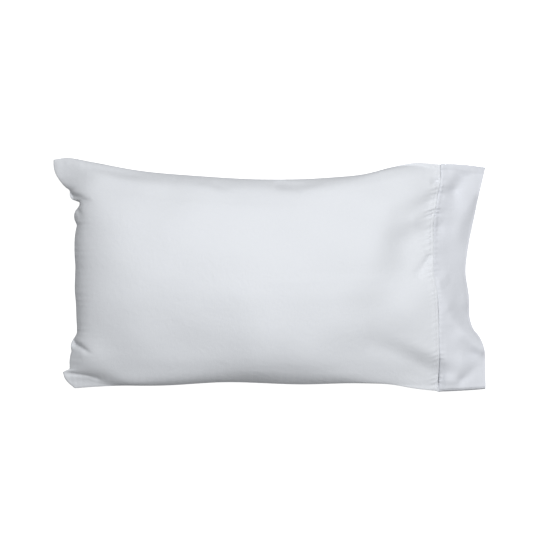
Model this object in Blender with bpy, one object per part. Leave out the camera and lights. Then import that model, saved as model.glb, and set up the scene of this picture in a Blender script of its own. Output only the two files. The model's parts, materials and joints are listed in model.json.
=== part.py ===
"""A long pillowcase with a pillow in it, lying on its back on a flat surface.

Metres, +Z up. +X runs from the sewn end to the open mouth, +Y from the near side seam to the far one.
The origin is under the middle of the whole case, on the surface that it rests on.

Two pieces are built, as a maker cuts them:
  case_body  the case's cloth round its filling, one closed solid from the sewn end to the cuff's seam
  cuff       the deep doubled band round the mouth, a flattened tube that is open at its free end

Both are grids over a middle sheet that spans their seams. The front and the back of the cloth stand
off from that sheet by a height that is worked out from the distance to each seam.
"""

import math

import bmesh
import bpy
import numpy as np

# ---- driving sizes ------------------------------------------------------------------------------
CASE_LENGTH = 0.915  # far corner of the sewn end to far corner of the mouth
CASE_WIDTH = 0.508  # side seam to side seam, on the flat case
CORNER_DRAWN_IN = 0.0085  # how far the sewn far corner lies inside the flat case's corner
CROWN_ABOVE_SEAM = 0.079  # how far the front rises over the side seams
BELLY_BELOW_SEAM = 0.110  # how far the back would hang below them, but for the surface it lies on
EDGE_THICKNESS = 0.0034  # two layers of cloth with their turned-in allowance, at a side seam
CUFF_WALL = 0.0016  # one doubled layer of the cuff
MOST_UPRIGHT_WALL = 2  # the most that a steep wall counts for when it is measured upright
SEAM_GAP = 0.0004  # between the body's end and the cuff
LEAST_CAVITY = 0.0010  # between the cuff's layers where they lie together
CUFF_CLEARANCE = 0.0012  # between the filling's end and the inside of the cuff
FLOOR_ROUNDING = 0.010  # height over which the back turns away from the floor
FILLING_SWELL = 0.014  # how far the filling's end swells into the cuff
SWELL_POWER = 4  # how late that swelling dies away towards the sides
MOUTH_HALF_GAP = 0.0130  # half of the distance between the lips, at the mouth's middle

# ---- how finely the cloth is divided ------------------------------------------------------------
STEPS_ALONG_BODY = 46
STEPS_ACROSS = 60
STEPS_ALONG_CUFF = 9
STEPS_DOWN_FILLING = 4
CROWDING = 0.45  # how much closer the steps lie at the ends than in the middle

# ---- corners of the cloth, as x, y, z -----------------------------------------------------------
HALF_LENGTH = CASE_LENGTH / 2
FAR_EAR = (-HALF_LENGTH, CASE_WIDTH / 2 - CORNER_DRAWN_IN, 0.034)
NEAR_EAR = (-0.4110, -0.2402, 0.032)
FAR_SEAM_END = (0.3600, 0.2336, 0.060)
NEAR_SEAM_END = (0.3530, -0.2448, 0.050)
FAR_LIP = (HALF_LENGTH, 0.2275, 0.028)
NEAR_LIP = (0.4548, -0.2398, 0.040)

# ---- the seams, as x, y, z of points that a smooth line runs through -----------------------------
# The filling draws the long sides in between the sewn corners.
FAR_SIDE = [
    FAR_EAR,
    (-0.4300, 0.2486, 0.041),
    (-0.3800, 0.2402, 0.054),
    (-0.2784, 0.2210, 0.068),
    (-0.1500, 0.2088, 0.077),
    (0.0000, 0.2014, 0.079),
    (0.1280, 0.2056, 0.078),
    (0.2000, 0.2130, 0.076),
    (0.2560, 0.2275, 0.073),
    (0.3050, 0.2366, 0.068),
    FAR_SEAM_END,
]
NEAR_SIDE = [
    NEAR_EAR,
    (-0.3800, -0.2372, 0.039),
    (-0.3300, -0.2340, 0.050),
    (-0.2200, -0.2323, 0.062),
    (-0.1000, -0.2254, 0.066),
    (0.0700, -0.2298, 0.067),
    (0.1900, -0.2276, 0.065),
    (0.2550, -0.2305, 0.061),
    (0.3060, -0.2392, 0.056),
    NEAR_SEAM_END,
]
# The sewn end, from the far corner to the near one. Both corners stand out as flat ears.
SEWN_END = [
    FAR_EAR,
    (-0.4585, 0.2250, 0.034),
    (-0.4520, 0.2080, 0.035),
    (-0.4400, 0.1920, 0.039),
    (-0.4250, 0.1740, 0.047),
    (-0.4145, 0.1450, 0.056),
    (-0.4110, 0.1100, 0.062),
    (-0.4110, 0.0000, 0.064),
    (-0.4100, -0.1000, 0.060),
    (-0.4165, -0.1500, 0.051),
    (-0.4230, -0.1850, 0.045),
    (-0.4300, -0.2080, 0.038),
    (-0.4250, -0.2290, 0.033),
    NEAR_EAR,
]
# The seam between body and cuff, from the far side to the near one.
CUFF_SEAM = [
    FAR_SEAM_END,
    (0.3600, 0.2080, 0.060),
    (0.3572, 0.1850, 0.061),
    (0.3510, 0.1560, 0.062),
    (0.3455, 0.1250, 0.063),
    (0.3432, 0.0830, 0.064),
    (0.3424, 0.0300, 0.065),
    (0.3420, 0.0050, 0.065),
    (0.3455, -0.0150, 0.065),
    (0.3500, -0.0360, 0.065),
    (0.3527, -0.0700, 0.063),
    (0.3548, -0.1300, 0.060),
    (0.3562, -0.1800, 0.056),
    (0.3558, -0.2100, 0.053),
    NEAR_SEAM_END,
]
# The cuff's own stretch of each long side.
CUFF_FAR_SIDE = [FAR_SEAM_END, (0.4060, 0.2324, 0.044), FAR_LIP]
CUFF_NEAR_SIDE = [NEAR_SEAM_END, (0.4040, -0.2428, 0.046), NEAR_LIP]
# The mouth, from the far side to the near one: the middle between its two lips.
MOUTH = [
    FAR_LIP,
    (0.4450, 0.1800, 0.028),
    (0.4345, 0.1290, 0.029),
    (0.4248, 0.0845, 0.030),
    (0.4160, 0.0420, 0.030),
    (0.4128, 0.0080, 0.030),
    (0.4195, -0.0400, 0.030),
    (0.4232, -0.0960, 0.031),
    (0.4285, -0.1120, 0.032),
    (0.4422, -0.1300, 0.032),
    (0.4520, -0.1560, 0.034),
    (0.4542, -0.2020, 0.037),
    NEAR_LIP,
]

# ---- the sewn end's gathered outline ------------------------------------------------------------
# As y and x: ears, knobs, notches and the roll between them. It only shapes the cloth beside the end.
END_OUTLINE = [
    (0.2455, -0.4596), (0.2351, -0.4598), (0.2266, -0.4589), (0.2181, -0.4565), (0.2096, -0.4523),
    (0.2010, -0.4464), (0.1924, -0.4397), (0.1859, -0.4330), (0.1794, -0.4243), (0.1766, -0.4234),
    (0.1709, -0.4238), (0.1666, -0.4229), (0.1623, -0.4203), (0.1593, -0.4168), (0.1573, -0.4108),
    (0.1555, -0.4027), (0.1532, -0.4004), (0.1505, -0.3995), (0.1474, -0.4003), (0.1431, -0.4035),
    (0.1388, -0.4083), (0.1325, -0.4119), (0.1240, -0.4132), (0.1155, -0.4117), (0.1089, -0.4083),
    (0.1044, -0.4068), (0.0985, -0.4083), (0.0901, -0.4100), (0.0780, -0.4115), (0.0600, -0.4120),
    (0.0380, -0.4114), (0.0200, -0.4101), (0.0000, -0.4106), (-0.0300, -0.4114), (-0.0600, -0.4090),
    (-0.0900, -0.4081), (-0.1151, -0.4071), (-0.1230, -0.4077), (-0.1294, -0.4118), (-0.1379, -0.4178),
    (-0.1464, -0.4211), (-0.1550, -0.4210), (-0.1592, -0.4199), (-0.1655, -0.4215), (-0.1763, -0.4238),
    (-0.1847, -0.4245), (-0.1933, -0.4245), (-0.1989, -0.4255), (-0.2017, -0.4330), (-0.2040, -0.4385),
    (-0.2062, -0.4393), (-0.2105, -0.4379), (-0.2148, -0.4369), (-0.2192, -0.4347), (-0.2234, -0.4314),
    (-0.2277, -0.4277), (-0.2320, -0.4232), (-0.2362, -0.4177), (-0.2408, -0.4117),
]
OUTLINE_REACH = 0.018  # how far this outline shows along the body, as a share of its length

# ---- the main folds of the front ----------------------------------------------------------------
# Each is a soft trough along a line of points, as x, y. A ridge has a depth below zero. Depth and half
# width are given at the line's start and at its end.
BODY_FOLDS = [
    {
        "line": [(-0.425, 0.169), (-0.407, 0.165), (-0.393, 0.161), (-0.376, 0.154)],
        "depth": (0.0148, 0.0004),
        "half_width": (0.009, 0.009),
    },
    {"line": [(-0.402, 0.137), (-0.395, 0.125)], "depth": (0.0032, 0.0013), "half_width": (0.009, 0.009)},
    {
        "line": [(-0.416, -0.142), (-0.405, -0.147), (-0.393, -0.153), (-0.376, -0.163)],
        "depth": (0.0142, 0.0003),
        "half_width": (0.009, 0.009),
    },
    {
        "line": [(-0.430, -0.207), (-0.400, -0.209), (-0.379, -0.211), (-0.360, -0.218)],
        "depth": (0.0019, 0.0012),
        "half_width": (0.009, 0.009),
    },
    {
        "line": [(-0.389, 0.227), (-0.364, 0.221), (-0.324, 0.209), (-0.268, 0.206), (-0.200, 0.203)],
        "depth": (0.0011, 0.0030),
        "half_width": (0.009, 0.015),
    },
    {"line": [(-0.113, 0.186), (-0.092, 0.182)], "depth": (0.0030, 0.0018), "half_width": (0.009, 0.009)},
    {
        "line": [(0.021, 0.190), (0.054, 0.185), (0.088, 0.193)],
        "depth": (0.0077, 0.0022),
        "half_width": (0.010, 0.009),
    },
    {"line": [(0.351, 0.199), (0.335, 0.195)], "depth": (0.0053, -0.0002), "half_width": (0.009, 0.009)},
    {
        "line": [(0.354, 0.168), (0.327, 0.150), (0.300, 0.136), (0.272, 0.128)],
        "depth": (0.0103, 0.0039),
        "half_width": (0.014, 0.020),
    },
    {
        "line": [(0.343, 0.130), (0.320, 0.120), (0.303, 0.115)],
        "depth": (0.0068, -0.0015),
        "half_width": (0.009, 0.012),
    },
    {
        "line": [(0.343, 0.098), (0.299, 0.090), (0.273, 0.070)],
        "depth": (0.0100, 0.0075),
        "half_width": (0.020, 0.032),
    },
    {
        "line": [(0.334, 0.038), (0.322, 0.020), (0.310, 0.004)],
        "depth": (0.0039, 0.0042),
        "half_width": (0.009, 0.010),
    },
    {
        "line": [(0.354, -0.206), (0.333, -0.196), (0.289, -0.172), (0.253, -0.157), (0.215, -0.143)],
        "depth": (0.0026, 0.0032),
        "half_width": (0.013, 0.021),
    },
    {
        "line": [(0.354, -0.169), (0.333, -0.161), (0.288, -0.142), (0.253, -0.129), (0.215, -0.117)],
        "depth": (-0.0042, 0.0011),
        "half_width": (0.015, 0.021),
    },
    {"line": [(0.286, 0.135), (0.279, -0.030)], "depth": (0.0058, 0.0070), "half_width": (0.038, 0.060)},
]
CUFF_FOLDS = [
    {
        "line": [(0.436, 0.225), (0.418, 0.217), (0.408, 0.204), (0.401, 0.194), (0.391, 0.182)],
        "depth": (0.0017, 0.0119),
        "half_width": (0.021, 0.015),
    },
    {
        "line": [(0.446, 0.203), (0.421, 0.180), (0.403, 0.152), (0.389, 0.127), (0.379, 0.104)],
        "depth": (0.0031, 0.0117),
        "half_width": (0.025, 0.026),
    },
    {
        "line": [(0.449, 0.151), (0.435, 0.115), (0.428, 0.083)],
        "depth": (0.0153, 0.0164),
        "half_width": (0.017, 0.026),
    },
    {
        "line": [(0.355, -0.015), (0.365, -0.050), (0.375, -0.076)],
        "depth": (-0.0030, 0.0009),
        "half_width": (0.010, 0.010),
    },
    {
        "line": [(0.373, -0.076), (0.385, -0.095), (0.402, -0.112), (0.419, -0.123), (0.436, -0.144), (0.450, -0.159)],
        "depth": (-0.0060, -0.0124),
        "half_width": (0.016, 0.016),
    },
    {"line": [(0.416, -0.166), (0.450, -0.167)], "depth": (0.0025, 0.0064), "half_width": (0.012, 0.013)},
    {
        "line": [(0.364, -0.181), (0.381, -0.184), (0.400, -0.189)],
        "depth": (-0.0025, -0.0082),
        "half_width": (0.013, 0.028),
    },
    {
        "line": [(0.406, -0.220), (0.420, -0.209), (0.431, -0.198), (0.447, -0.185)],
        "depth": (0.0035, 0.0002),
        "half_width": (0.010, 0.012),
    },
]
BODY_FOLD_MARGIN = 0.04  # the folds fade out at the sewn edges, over this share of the body
CUFF_FOLD_MARGIN = 0.06  # the same, inside the cuff's side seams
CUFF_SEAM_MARGIN = 0.10  # and from the cuff's seam, as a share of its depth
FOLDS_RUN_ON = 0.020  # how far the body's folds run on into the cuff
NEAR_ROLL_WIDTH = 0.006  # the cuff's near side is rolled under: the width of this roll
NEAR_ROLL_HEIGHT = 0.012  # and how high it lifts the cloth
NEAR_ROLL_REACH = 0.060  # how far from the side this lift is still felt

# ---- where the filling or the doubled cloth is fuller or emptier than the smooth shape -----------
BODY_LUMPS = [
    {"x": -0.340, "y": 0.130, "height": -0.0017, "radius": 0.060},
    {"x": -0.340, "y": 0.000, "height": -0.0025, "radius": 0.070},
    {"x": -0.340, "y": -0.130, "height": -0.0020, "radius": 0.060},
    {"x": -0.378, "y": -0.170, "height": 0.0060, "radius": 0.034},
    {"x": -0.200, "y": -0.080, "height": -0.0048, "radius": 0.080},
    {"x": -0.030, "y": 0.100, "height": -0.0054, "radius": 0.080},
    {"x": -0.020, "y": -0.170, "height": 0.0075, "radius": 0.050},
    {"x": 0.110, "y": 0.090, "height": -0.0049, "radius": 0.080},
    {"x": 0.110, "y": -0.060, "height": -0.0061, "radius": 0.080},
    {"x": 0.120, "y": -0.170, "height": -0.0026, "radius": 0.050},
    {"x": 0.210, "y": 0.150, "height": 0.0035, "radius": 0.050},
    {"x": 0.220, "y": 0.050, "height": 0.0045, "radius": 0.060},
    {"x": 0.220, "y": -0.070, "height": 0.0037, "radius": 0.060},
    {"x": 0.290, "y": 0.130, "height": 0.0085, "radius": 0.045},
    {"x": 0.290, "y": 0.030, "height": -0.0085, "radius": 0.045},
    {"x": 0.290, "y": -0.070, "height": 0.0064, "radius": 0.045},
    {"x": 0.310, "y": -0.200, "height": -0.0052, "radius": 0.035},
]
CUFF_LUMPS = [
    {"x": 0.385, "y": 0.158, "height": -0.0078, "radius": 0.020},
    {"x": 0.415, "y": 0.099, "height": -0.0025, "radius": 0.020},
    {"x": 0.377, "y": 0.052, "height": -0.0033, "radius": 0.022},
    {"x": 0.375, "y": -0.001, "height": 0.0026, "radius": 0.020},
    {"x": 0.404, "y": -0.007, "height": 0.0030, "radius": 0.020},
    {"x": 0.375, "y": -0.053, "height": 0.0048, "radius": 0.018},
    {"x": 0.408, "y": -0.060, "height": 0.0044, "radius": 0.018},
    {"x": 0.404, "y": -0.133, "height": 0.0053, "radius": 0.018},
    {"x": 0.381, "y": -0.222, "height": 0.0067, "radius": 0.016},
    {"x": 0.423, "y": -0.224, "height": 0.0027, "radius": 0.016},
]
LUMP_MARGIN = 0.030  # the body's lumps fade out towards its seams, over this distance

# ---- how round the filling makes the cloth ------------------------------------------------------
# A seam rises with a steep shoulder of some width, and goes over into a dome with some crest.
CROWN_AT = 0.50  # where the front is highest, as a share of the body's length
END_ROUND = (0.42, 0.04, 4.73)  # shoulder, width and crest of the sewn end
# The two long sides, at shares of the body's length: shoulder, width, crest, and the flat strip beside
# the seam that the filling doesn't lift, as a share of half the width.
SIDE_ROUND = [
    {"along": 0.00, "far": (0.40, 0.020, 4.0, 0.004), "near": (0.03, 0.120, 2.2, 0.050)},
    {"along": 0.14, "far": (0.49, 0.056, 1.8, 0.001), "near": (0.26, 0.024, 1.7, 0.003)},
    {"along": 0.28, "far": (0.61, 0.071, 1.5, 0.000), "near": (0.36, 0.034, 1.6, 0.000)},
    {"along": 0.42, "far": (0.62, 0.062, 2.1, 0.000), "near": (0.41, 0.047, 2.0, 0.000)},
    {"along": 0.56, "far": (0.69, 0.094, 1.1, 0.000), "near": (0.47, 0.080, 2.3, 0.000)},
    {"along": 0.70, "far": (0.67, 0.057, 1.4, 0.000), "near": (0.48, 0.068, 1.8, 0.000)},
    {"along": 0.84, "far": (0.35, 0.020, 4.0, 0.000), "near": (0.12, 0.030, 1.3, 0.000)},
    {"along": 1.00, "far": (0.23, 0.056, 1.1, 0.047), "near": (0.00, 0.106, 3.2, 0.055)},
]
FALL_TO_CUFF = 0.60  # the share of the height that is lost between the crown and the cuff's seam
FALL_POWER = 2.10
# The two flat ears at the sewn end, where the filling doesn't reach.
EARS = [
    {"x": -0.492, "y": 0.228, "reach_x": 0.107, "reach_y": 0.052},
    {"x": -0.412, "y": -0.240, "reach_x": 0.080, "reach_y": 0.035},
]
EAR_FLATNESS = 0.85  # the share of the filling's height that an ear lacks
LIP_ROUND_POWER = 2.5  # how the mouth's gap closes towards the sides

# ---- colour -------------------------------------------------------------------------------------
BODY_COTTON = (0.84, 0.85, 0.88, 1.0)
CUFF_COTTON = (0.85, 0.86, 0.90, 1.0)
COTTON_ROUGHNESS = 0.85


def along_curve(points, shares):
    """Places on a smooth line through the points, at shares of its length."""
    points = np.array(points, float)
    steps = np.linalg.norm(np.diff(points, axis=0), axis=1)
    knots = np.concatenate([[0.0], np.cumsum(steps)])
    slopes = np.gradient(points, knots, axis=0)
    at = shares * knots[-1]
    before = np.clip(np.searchsorted(knots, at, side="right") - 1, 0, len(steps) - 1)
    after = before + 1
    step = steps[before][:, None]
    u = ((at - knots[before]) / steps[before])[:, None]
    return (
        points[before] * (2 * u**3 - 3 * u**2 + 1)
        + points[after] * (3 * u**2 - 2 * u**3)
        + slopes[before] * step * (u**3 - 2 * u**2 + u)
        + slopes[after] * step * (u**3 - u**2)
    )


def even_across(points, shares):
    """Places on a line from side to side, at shares of its way across rather than of its length."""
    fine = np.linspace(0, 1, 2001)
    y = along_curve(points, fine)[:, 1]
    return along_curve(points, np.interp(shares, (y - y[0]) / (y[-1] - y[0]), fine))


def middle_sheet(far_side, near_side, first_end, last_end, along, across):
    """The sheet that spans four seams, as a grid of points.

    along runs from 0 at first_end to 1 at last_end, across from 1 at the far side to -1 at the near one.
    """
    u = along[:, None, None]
    v = ((1 - across) / 2)[None, :, None]
    far = along_curve(far_side, along)[:, None]
    near = along_curve(near_side, along)[:, None]
    first = even_across(first_end, (1 - across) / 2)[None]
    last = even_across(last_end, (1 - across) / 2)[None]
    corners = (1 - u) * ((1 - v) * first[:, :1] + v * first[:, -1:])
    corners = corners + u * ((1 - v) * last[:, :1] + v * last[:, -1:])
    return (1 - v) * far + v * near + (1 - u) * first + u * last - corners


def smooth_between(at, places, values):
    """Values on a smooth line through the rows of a table."""
    slopes = np.gradient(values, places)
    before = np.clip(np.searchsorted(places, at, side="right") - 1, 0, len(places) - 2)
    step = places[before + 1] - places[before]
    u = np.clip((at - places[before]) / step, 0, 1)
    return (
        values[before] * (2 * u**3 - 3 * u**2 + 1)
        + values[before + 1] * (3 * u**2 - 2 * u**3)
        + slopes[before] * step * (u**3 - 2 * u**2 + u)
        + slopes[before + 1] * step * (u**3 - u**2)
    )


def rounded(share, shoulder, width, crest):
    """From 0 at a seam to 1 at the crown: a steep shoulder beside the seam, then a dome."""
    share = np.clip(share, 0, 1)
    return shoulder * (1 - np.exp(-share / width)) + (1 - shoulder) * (1 - (1 - share) ** crest)


def ear_flatness(x, y):
    """1 in the ears, 0 in the filled part, with a soft edge between them."""
    flat = np.zeros_like(x)
    for ear in EARS:
        away = ((x - ear["x"]) / ear["reach_x"]) ** 2 + ((y - ear["y"]) / ear["reach_y"]) ** 2
        flat = np.maximum(flat, np.exp(-(away**2)))
    return flat


def side_fullness(side, along, from_side):
    """The rise from one long side to the middle, with the side's own roundness at each station."""
    places = np.array([row["along"] for row in SIDE_ROUND])
    shoulder, width, crest, flat = (
        smooth_between(along, places, np.array([row[side][k] for row in SIDE_ROUND]))[:, None] for k in range(4)
    )
    return rounded((from_side - flat) / (1 - flat), shoulder, width, crest)


def fullness(along, across):
    """The share of the filling's full height that stands at each point of the body."""
    past_crown = np.clip((along - CROWN_AT) / (1 - CROWN_AT), 0, 1)
    rise = rounded(along / CROWN_AT, *END_ROUND)
    fall = 1 - FALL_TO_CUFF * past_crown**FALL_POWER
    from_side = 1 - np.abs(across)
    far, near = side_fullness("far", along, from_side), side_fullness("near", along, from_side)
    return np.where(along < CROWN_AT, rise, fall)[:, None] * np.where(across > 0, far, near)


def lowered_by(folds, x, y):
    """How far the folds lower the cloth at each point."""
    depth = np.zeros_like(x)
    for fold in folds:
        line = np.array(fold["line"])
        runs = np.diff(line, axis=0)
        lengths = np.linalg.norm(runs, axis=1)
        nearest = np.full_like(x, np.inf)
        share = np.zeros_like(x)
        for start, run, length, passed in zip(line, runs, lengths, np.cumsum(lengths) - lengths):
            part = np.clip(((x - start[0]) * run[0] + (y - start[1]) * run[1]) / length**2, 0, 1)
            away = np.hypot(x - start[0] - part * run[0], y - start[1] - part * run[1])
            share = np.where(away < nearest, (passed + part * length) / lengths.sum(), share)
            nearest = np.minimum(nearest, away)
        first_depth, last_depth = fold["depth"]
        first_width, last_width = fold["half_width"]
        width = first_width + (last_width - first_width) * share
        depth += (first_depth + (last_depth - first_depth) * share) * np.exp(-((nearest / width) ** 2))
    return depth


def lifted_by(lumps, x, y):
    """How far broad lumps lift the cloth."""
    lift = np.zeros_like(x)
    for lump in lumps:
        away = (x - lump["x"]) ** 2 + (y - lump["y"]) ** 2
        lift += lump["height"] * np.exp(-away / lump["radius"] ** 2)
    return lift


def inside_margin(share, margin):
    """0 at an edge, and 1 from the margin on."""
    return np.clip(share / margin, 0, 1)


def laid_on_floor(z):
    """Flattens what would lie below the floor, with a smooth turn up from it."""
    turn = (z + FLOOR_ROUNDING) ** 2 / (4 * FLOOR_ROUNDING)
    return np.where(z < -FLOOR_ROUNDING, 0, np.where(z < FLOOR_ROUNDING, turn, z))


def with_outline(sheet, along):
    """Moves the sewn end to its gathered outline, and fades that shift along the body."""
    y, x = np.array(END_OUTLINE[::-1]).T
    shift = smooth_between(sheet[0, :, 1], y, x) - sheet[0, :, 0]
    sheet[..., 0] += shift * np.exp(-along / OUTLINE_REACH)[:, None]
    return sheet


def crowded_steps(count):
    """Shares from 0 to 1, closer together at both ends."""
    u = np.linspace(0, 1, count + 1)
    return u - CROWDING * np.sin(2 * math.pi * u) / (2 * math.pi)


def body_surfaces(along, across):
    """The front and the back of the filled body, as grids of points, and how deep the front's folds are."""
    sheet = middle_sheet(FAR_SIDE, NEAR_SIDE, SEWN_END, CUFF_SEAM, along, across)
    sheet = with_outline(sheet, along)
    x, y = sheet[..., 0], sheet[..., 1]
    full = fullness(along, across) * (1 - EAR_FLATNESS * ear_flatness(x, y))
    width = np.linalg.norm(sheet[:, 0] - sheet[:, -1], axis=-1)[:, None]
    length = np.linalg.norm(sheet[0] - sheet[-1], axis=-1)[None]
    from_seams = np.minimum((1 - np.abs(across)) / 2 * width, along[:, None] * length)
    inside = inside_margin(from_seams, LUMP_MARGIN)
    lumps = lifted_by(BODY_LUMPS, x, y) * inside**2 * (3 - 2 * inside)
    margin = inside_margin(1 - np.abs(across), BODY_FOLD_MARGIN)[None]
    margin = margin * inside_margin(along, BODY_FOLD_MARGIN)[:, None]
    folds = lowered_by(BODY_FOLDS, x, y) * margin
    edge = EDGE_THICKNESS / 2
    front, back = sheet.copy(), sheet.copy()
    front[..., 2] += edge + np.maximum(CROWN_ABOVE_SEAM * full + lumps - folds, 0)
    back[..., 2] = laid_on_floor(sheet[..., 2] - edge - BELLY_BELOW_SEAM * full)
    return front, back, folds


def cuff_surfaces(along, across, seam_front, seam_back, seam_folds):
    """The outside of the cuff's front and back, as grids of points.

    The body's folds run on into the cuff from its seam, and fade.
    """
    sheet = middle_sheet(CUFF_FAR_SIDE, CUFF_NEAR_SIDE, CUFF_SEAM, MOUTH, along, across)
    sheet[..., 0] += SEAM_GAP
    x, y = sheet[..., 0], sheet[..., 1]
    u = along[:, None]
    seam_front = seam_front + seam_folds
    seam_middle = (seam_front + seam_back) / 2
    seam_half = (seam_front - seam_back) / 2
    lip_half = EDGE_THICKNESS / 2 + MOUTH_HALF_GAP * (1 - np.abs(across) ** LIP_ROUND_POWER)
    half = (1 - u) * seam_half + u * lip_half
    middle = sheet[..., 2] + (1 - u) * (seam_middle - sheet[0, :, 2])
    from_seam = u * np.linalg.norm(sheet[-1] - sheet[0], axis=-1)
    from_near = (1 + across) / 2 * np.linalg.norm(sheet[:, 0] - sheet[:, -1], axis=-1)[:, None]
    margin = inside_margin(1 - np.abs(across), CUFF_FOLD_MARGIN)[None] * inside_margin(u, CUFF_SEAM_MARGIN)
    folds = (lowered_by(CUFF_FOLDS, x, y) - lifted_by(CUFF_LUMPS, x, y)) * margin
    folds += seam_folds * np.exp(-((from_seam / FOLDS_RUN_ON) ** 2))
    roll = NEAR_ROLL_HEIGHT * inside_margin(from_near, NEAR_ROLL_WIDTH) * np.exp(-from_near / NEAR_ROLL_REACH)
    roll = roll * inside_margin(u, CUFF_SEAM_MARGIN)
    front, back = sheet.copy(), sheet.copy()
    back[..., 2] = middle - half
    front[..., 2] = np.maximum(middle + half + roll - folds, middle - half + 2 * CUFF_WALL + LEAST_CAVITY)
    front[:, [0, -1], 2] = (middle + half)[:, [0, -1]]
    return front, back


def add_rows(mesh, grid):
    """Vertices for a grid of points, one list for each row."""
    return [[mesh.verts.new(point) for point in row] for row in grid]


def skin(mesh, row, next_row):
    """Faces between two rows of vertices that have as many in each."""
    for i in range(len(row) - 1):
        mesh.faces.new((row[i], row[i + 1], next_row[i + 1], next_row[i]))


def skin_all(mesh, rows):
    for row, next_row in zip(rows, rows[1:]):
        skin(mesh, row, next_row)


def column(rows, index):
    return [row[index] for row in rows]


def cotton(name, colour):
    material = bpy.data.materials.new(name)
    material.use_nodes = True
    shader = material.node_tree.nodes["Principled BSDF"]
    shader.inputs["Base Color"].default_value = colour
    shader.inputs["Roughness"].default_value = COTTON_ROUGHNESS
    return material


def finished(name, mesh, colour):
    """Turns the mesh under work into an object with its own cloth."""
    bmesh.ops.recalc_face_normals(mesh, faces=mesh.faces)
    data = bpy.data.meshes.new(name)
    mesh.to_mesh(data)
    mesh.free()
    data.shade_smooth()
    data.materials.append(cotton(name, colour))
    piece = bpy.data.objects.new(name, data)
    bpy.context.scene.collection.objects.link(piece)
    return piece


def filling_end(front_edge, back_edge, across):
    """Rows of points down the filling's rounded end, inside the cuff."""
    middle = (front_edge + back_edge) / 2
    half = (front_edge[:, 2] - back_edge[:, 2]) / 2
    inner_half = np.maximum(half - CUFF_WALL - CUFF_CLEARANCE, LEAST_CAVITY / 4)
    rows = []
    for level in np.linspace(1, -1, STEPS_DOWN_FILLING + 1):
        row = middle.copy()
        row[:, 2] += inner_half * level
        row[:, 0] += FILLING_SWELL * (1 - level**2) * (1 - across**SWELL_POWER) * half / half.max()
        rows.append(row)
    return rows


def build_body(front, back, across):
    """The filled body: front, back, the sewn edge on three sides, and the filling's end."""
    mesh = bmesh.new()
    front_rows = add_rows(mesh, front)
    back_rows = add_rows(mesh, back)
    skin_all(mesh, front_rows)
    skin_all(mesh, back_rows)
    skin(mesh, front_rows[0], back_rows[0])
    end_rows = add_rows(mesh, filling_end(front[-1], back[-1], across))
    end_rows = [front_rows[-1], *end_rows, back_rows[-1]]
    skin_all(mesh, end_rows)
    for side in (0, -1):
        top, bottom = column(front_rows, side), column(back_rows, side)
        skin(mesh, top[:-1], bottom[:-1])
        # The last face of the side edge also takes in the points of the filling's end.
        mesh.faces.new([top[-2], *column(end_rows, side), bottom[-2]])
    resting = [face for face in mesh.faces if all(vert.co.z == 0 for vert in face.verts)]
    bmesh.ops.dissolve_faces(mesh, faces=resting, use_verts=True)
    return finished("case_body", mesh, BODY_COTTON)


def upright_wall(surface):
    """How thick the wall is when measured upright, so that it is CUFF_WALL thick square to the cloth."""
    slope_x = np.gradient(surface[..., 2], axis=0) / np.gradient(surface[..., 0], axis=0)
    slope_y = np.gradient(surface[..., 2], axis=1) / np.gradient(surface[..., 1], axis=1)
    return CUFF_WALL * np.minimum(np.sqrt(1 + slope_x**2 + slope_y**2), MOST_UPRIGHT_WALL)


def build_cuff(front, back):
    """The cuff: a flattened tube whose walls are the doubled cloth."""
    middle = (front[..., 2] + back[..., 2]) / 2
    ceiling, floor = front.copy(), back.copy()
    ceiling[..., 2] = np.maximum(front[..., 2] - upright_wall(front), middle + LEAST_CAVITY / 2)
    floor[..., 2] = np.minimum(back[..., 2] + upright_wall(back), middle - LEAST_CAVITY / 2)
    mesh = bmesh.new()
    outer_front, outer_back = add_rows(mesh, front), add_rows(mesh, back)
    # The cavity stops one step inside each side seam.
    inner_front = add_rows(mesh, ceiling[:, 1:-1])
    inner_back = add_rows(mesh, floor[:, 1:-1])
    for rows in (outer_front, outer_back, inner_front, inner_back):
        skin_all(mesh, rows)
    for side in (0, -1):
        skin(mesh, column(outer_front, side), column(outer_back, side))
        skin(mesh, column(inner_front, side), column(inner_back, side))
    for end in (0, -1):
        skin(mesh, outer_front[end][1:-1], inner_front[end])
        skin(mesh, outer_back[end][1:-1], inner_back[end])
        for side, inward in ((0, 1), (-1, -2)):
            mesh.faces.new(
                (
                    outer_front[end][side],
                    outer_front[end][inward],
                    inner_front[end][side],
                    inner_back[end][side],
                    outer_back[end][inward],
                    outer_back[end][side],
                )
            )
    return finished("cuff", mesh, CUFF_COTTON)


def clear_scene():
    for thing in list(bpy.data.objects):
        bpy.data.objects.remove(thing)


def main():
    clear_scene()
    along_body = crowded_steps(STEPS_ALONG_BODY)
    along_cuff = np.linspace(0, 1, STEPS_ALONG_CUFF + 1)
    across = 1 - 2 * crowded_steps(STEPS_ACROSS)
    front, back, folds = body_surfaces(along_body, across)
    build_body(front, back, across)
    cuff_front, cuff_back = cuff_surfaces(along_cuff, across, front[-1, :, 2], back[-1, :, 2], folds[-1])
    build_cuff(cuff_front, cuff_back)


main()
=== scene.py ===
# %% [markdown]
# # A filled white pillowcase, lying on its back
#
# This notebook dresses the plain model of a long bed pillowcase with a pillow in it. A maker cuts two
# things: the case body, two panels of fine white cotton sewn together on three sides, and the cuff, a deep
# doubled band round the mouth. The pillow gives the body its crown and draws its long sides in, while the
# empty corners stay flat and stand out as ears.
#
# Each cloth is a grid of points that numpy works out from a few named sizes and short tables, so a fold is
# changed by changing one row.

import json
import math

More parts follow.
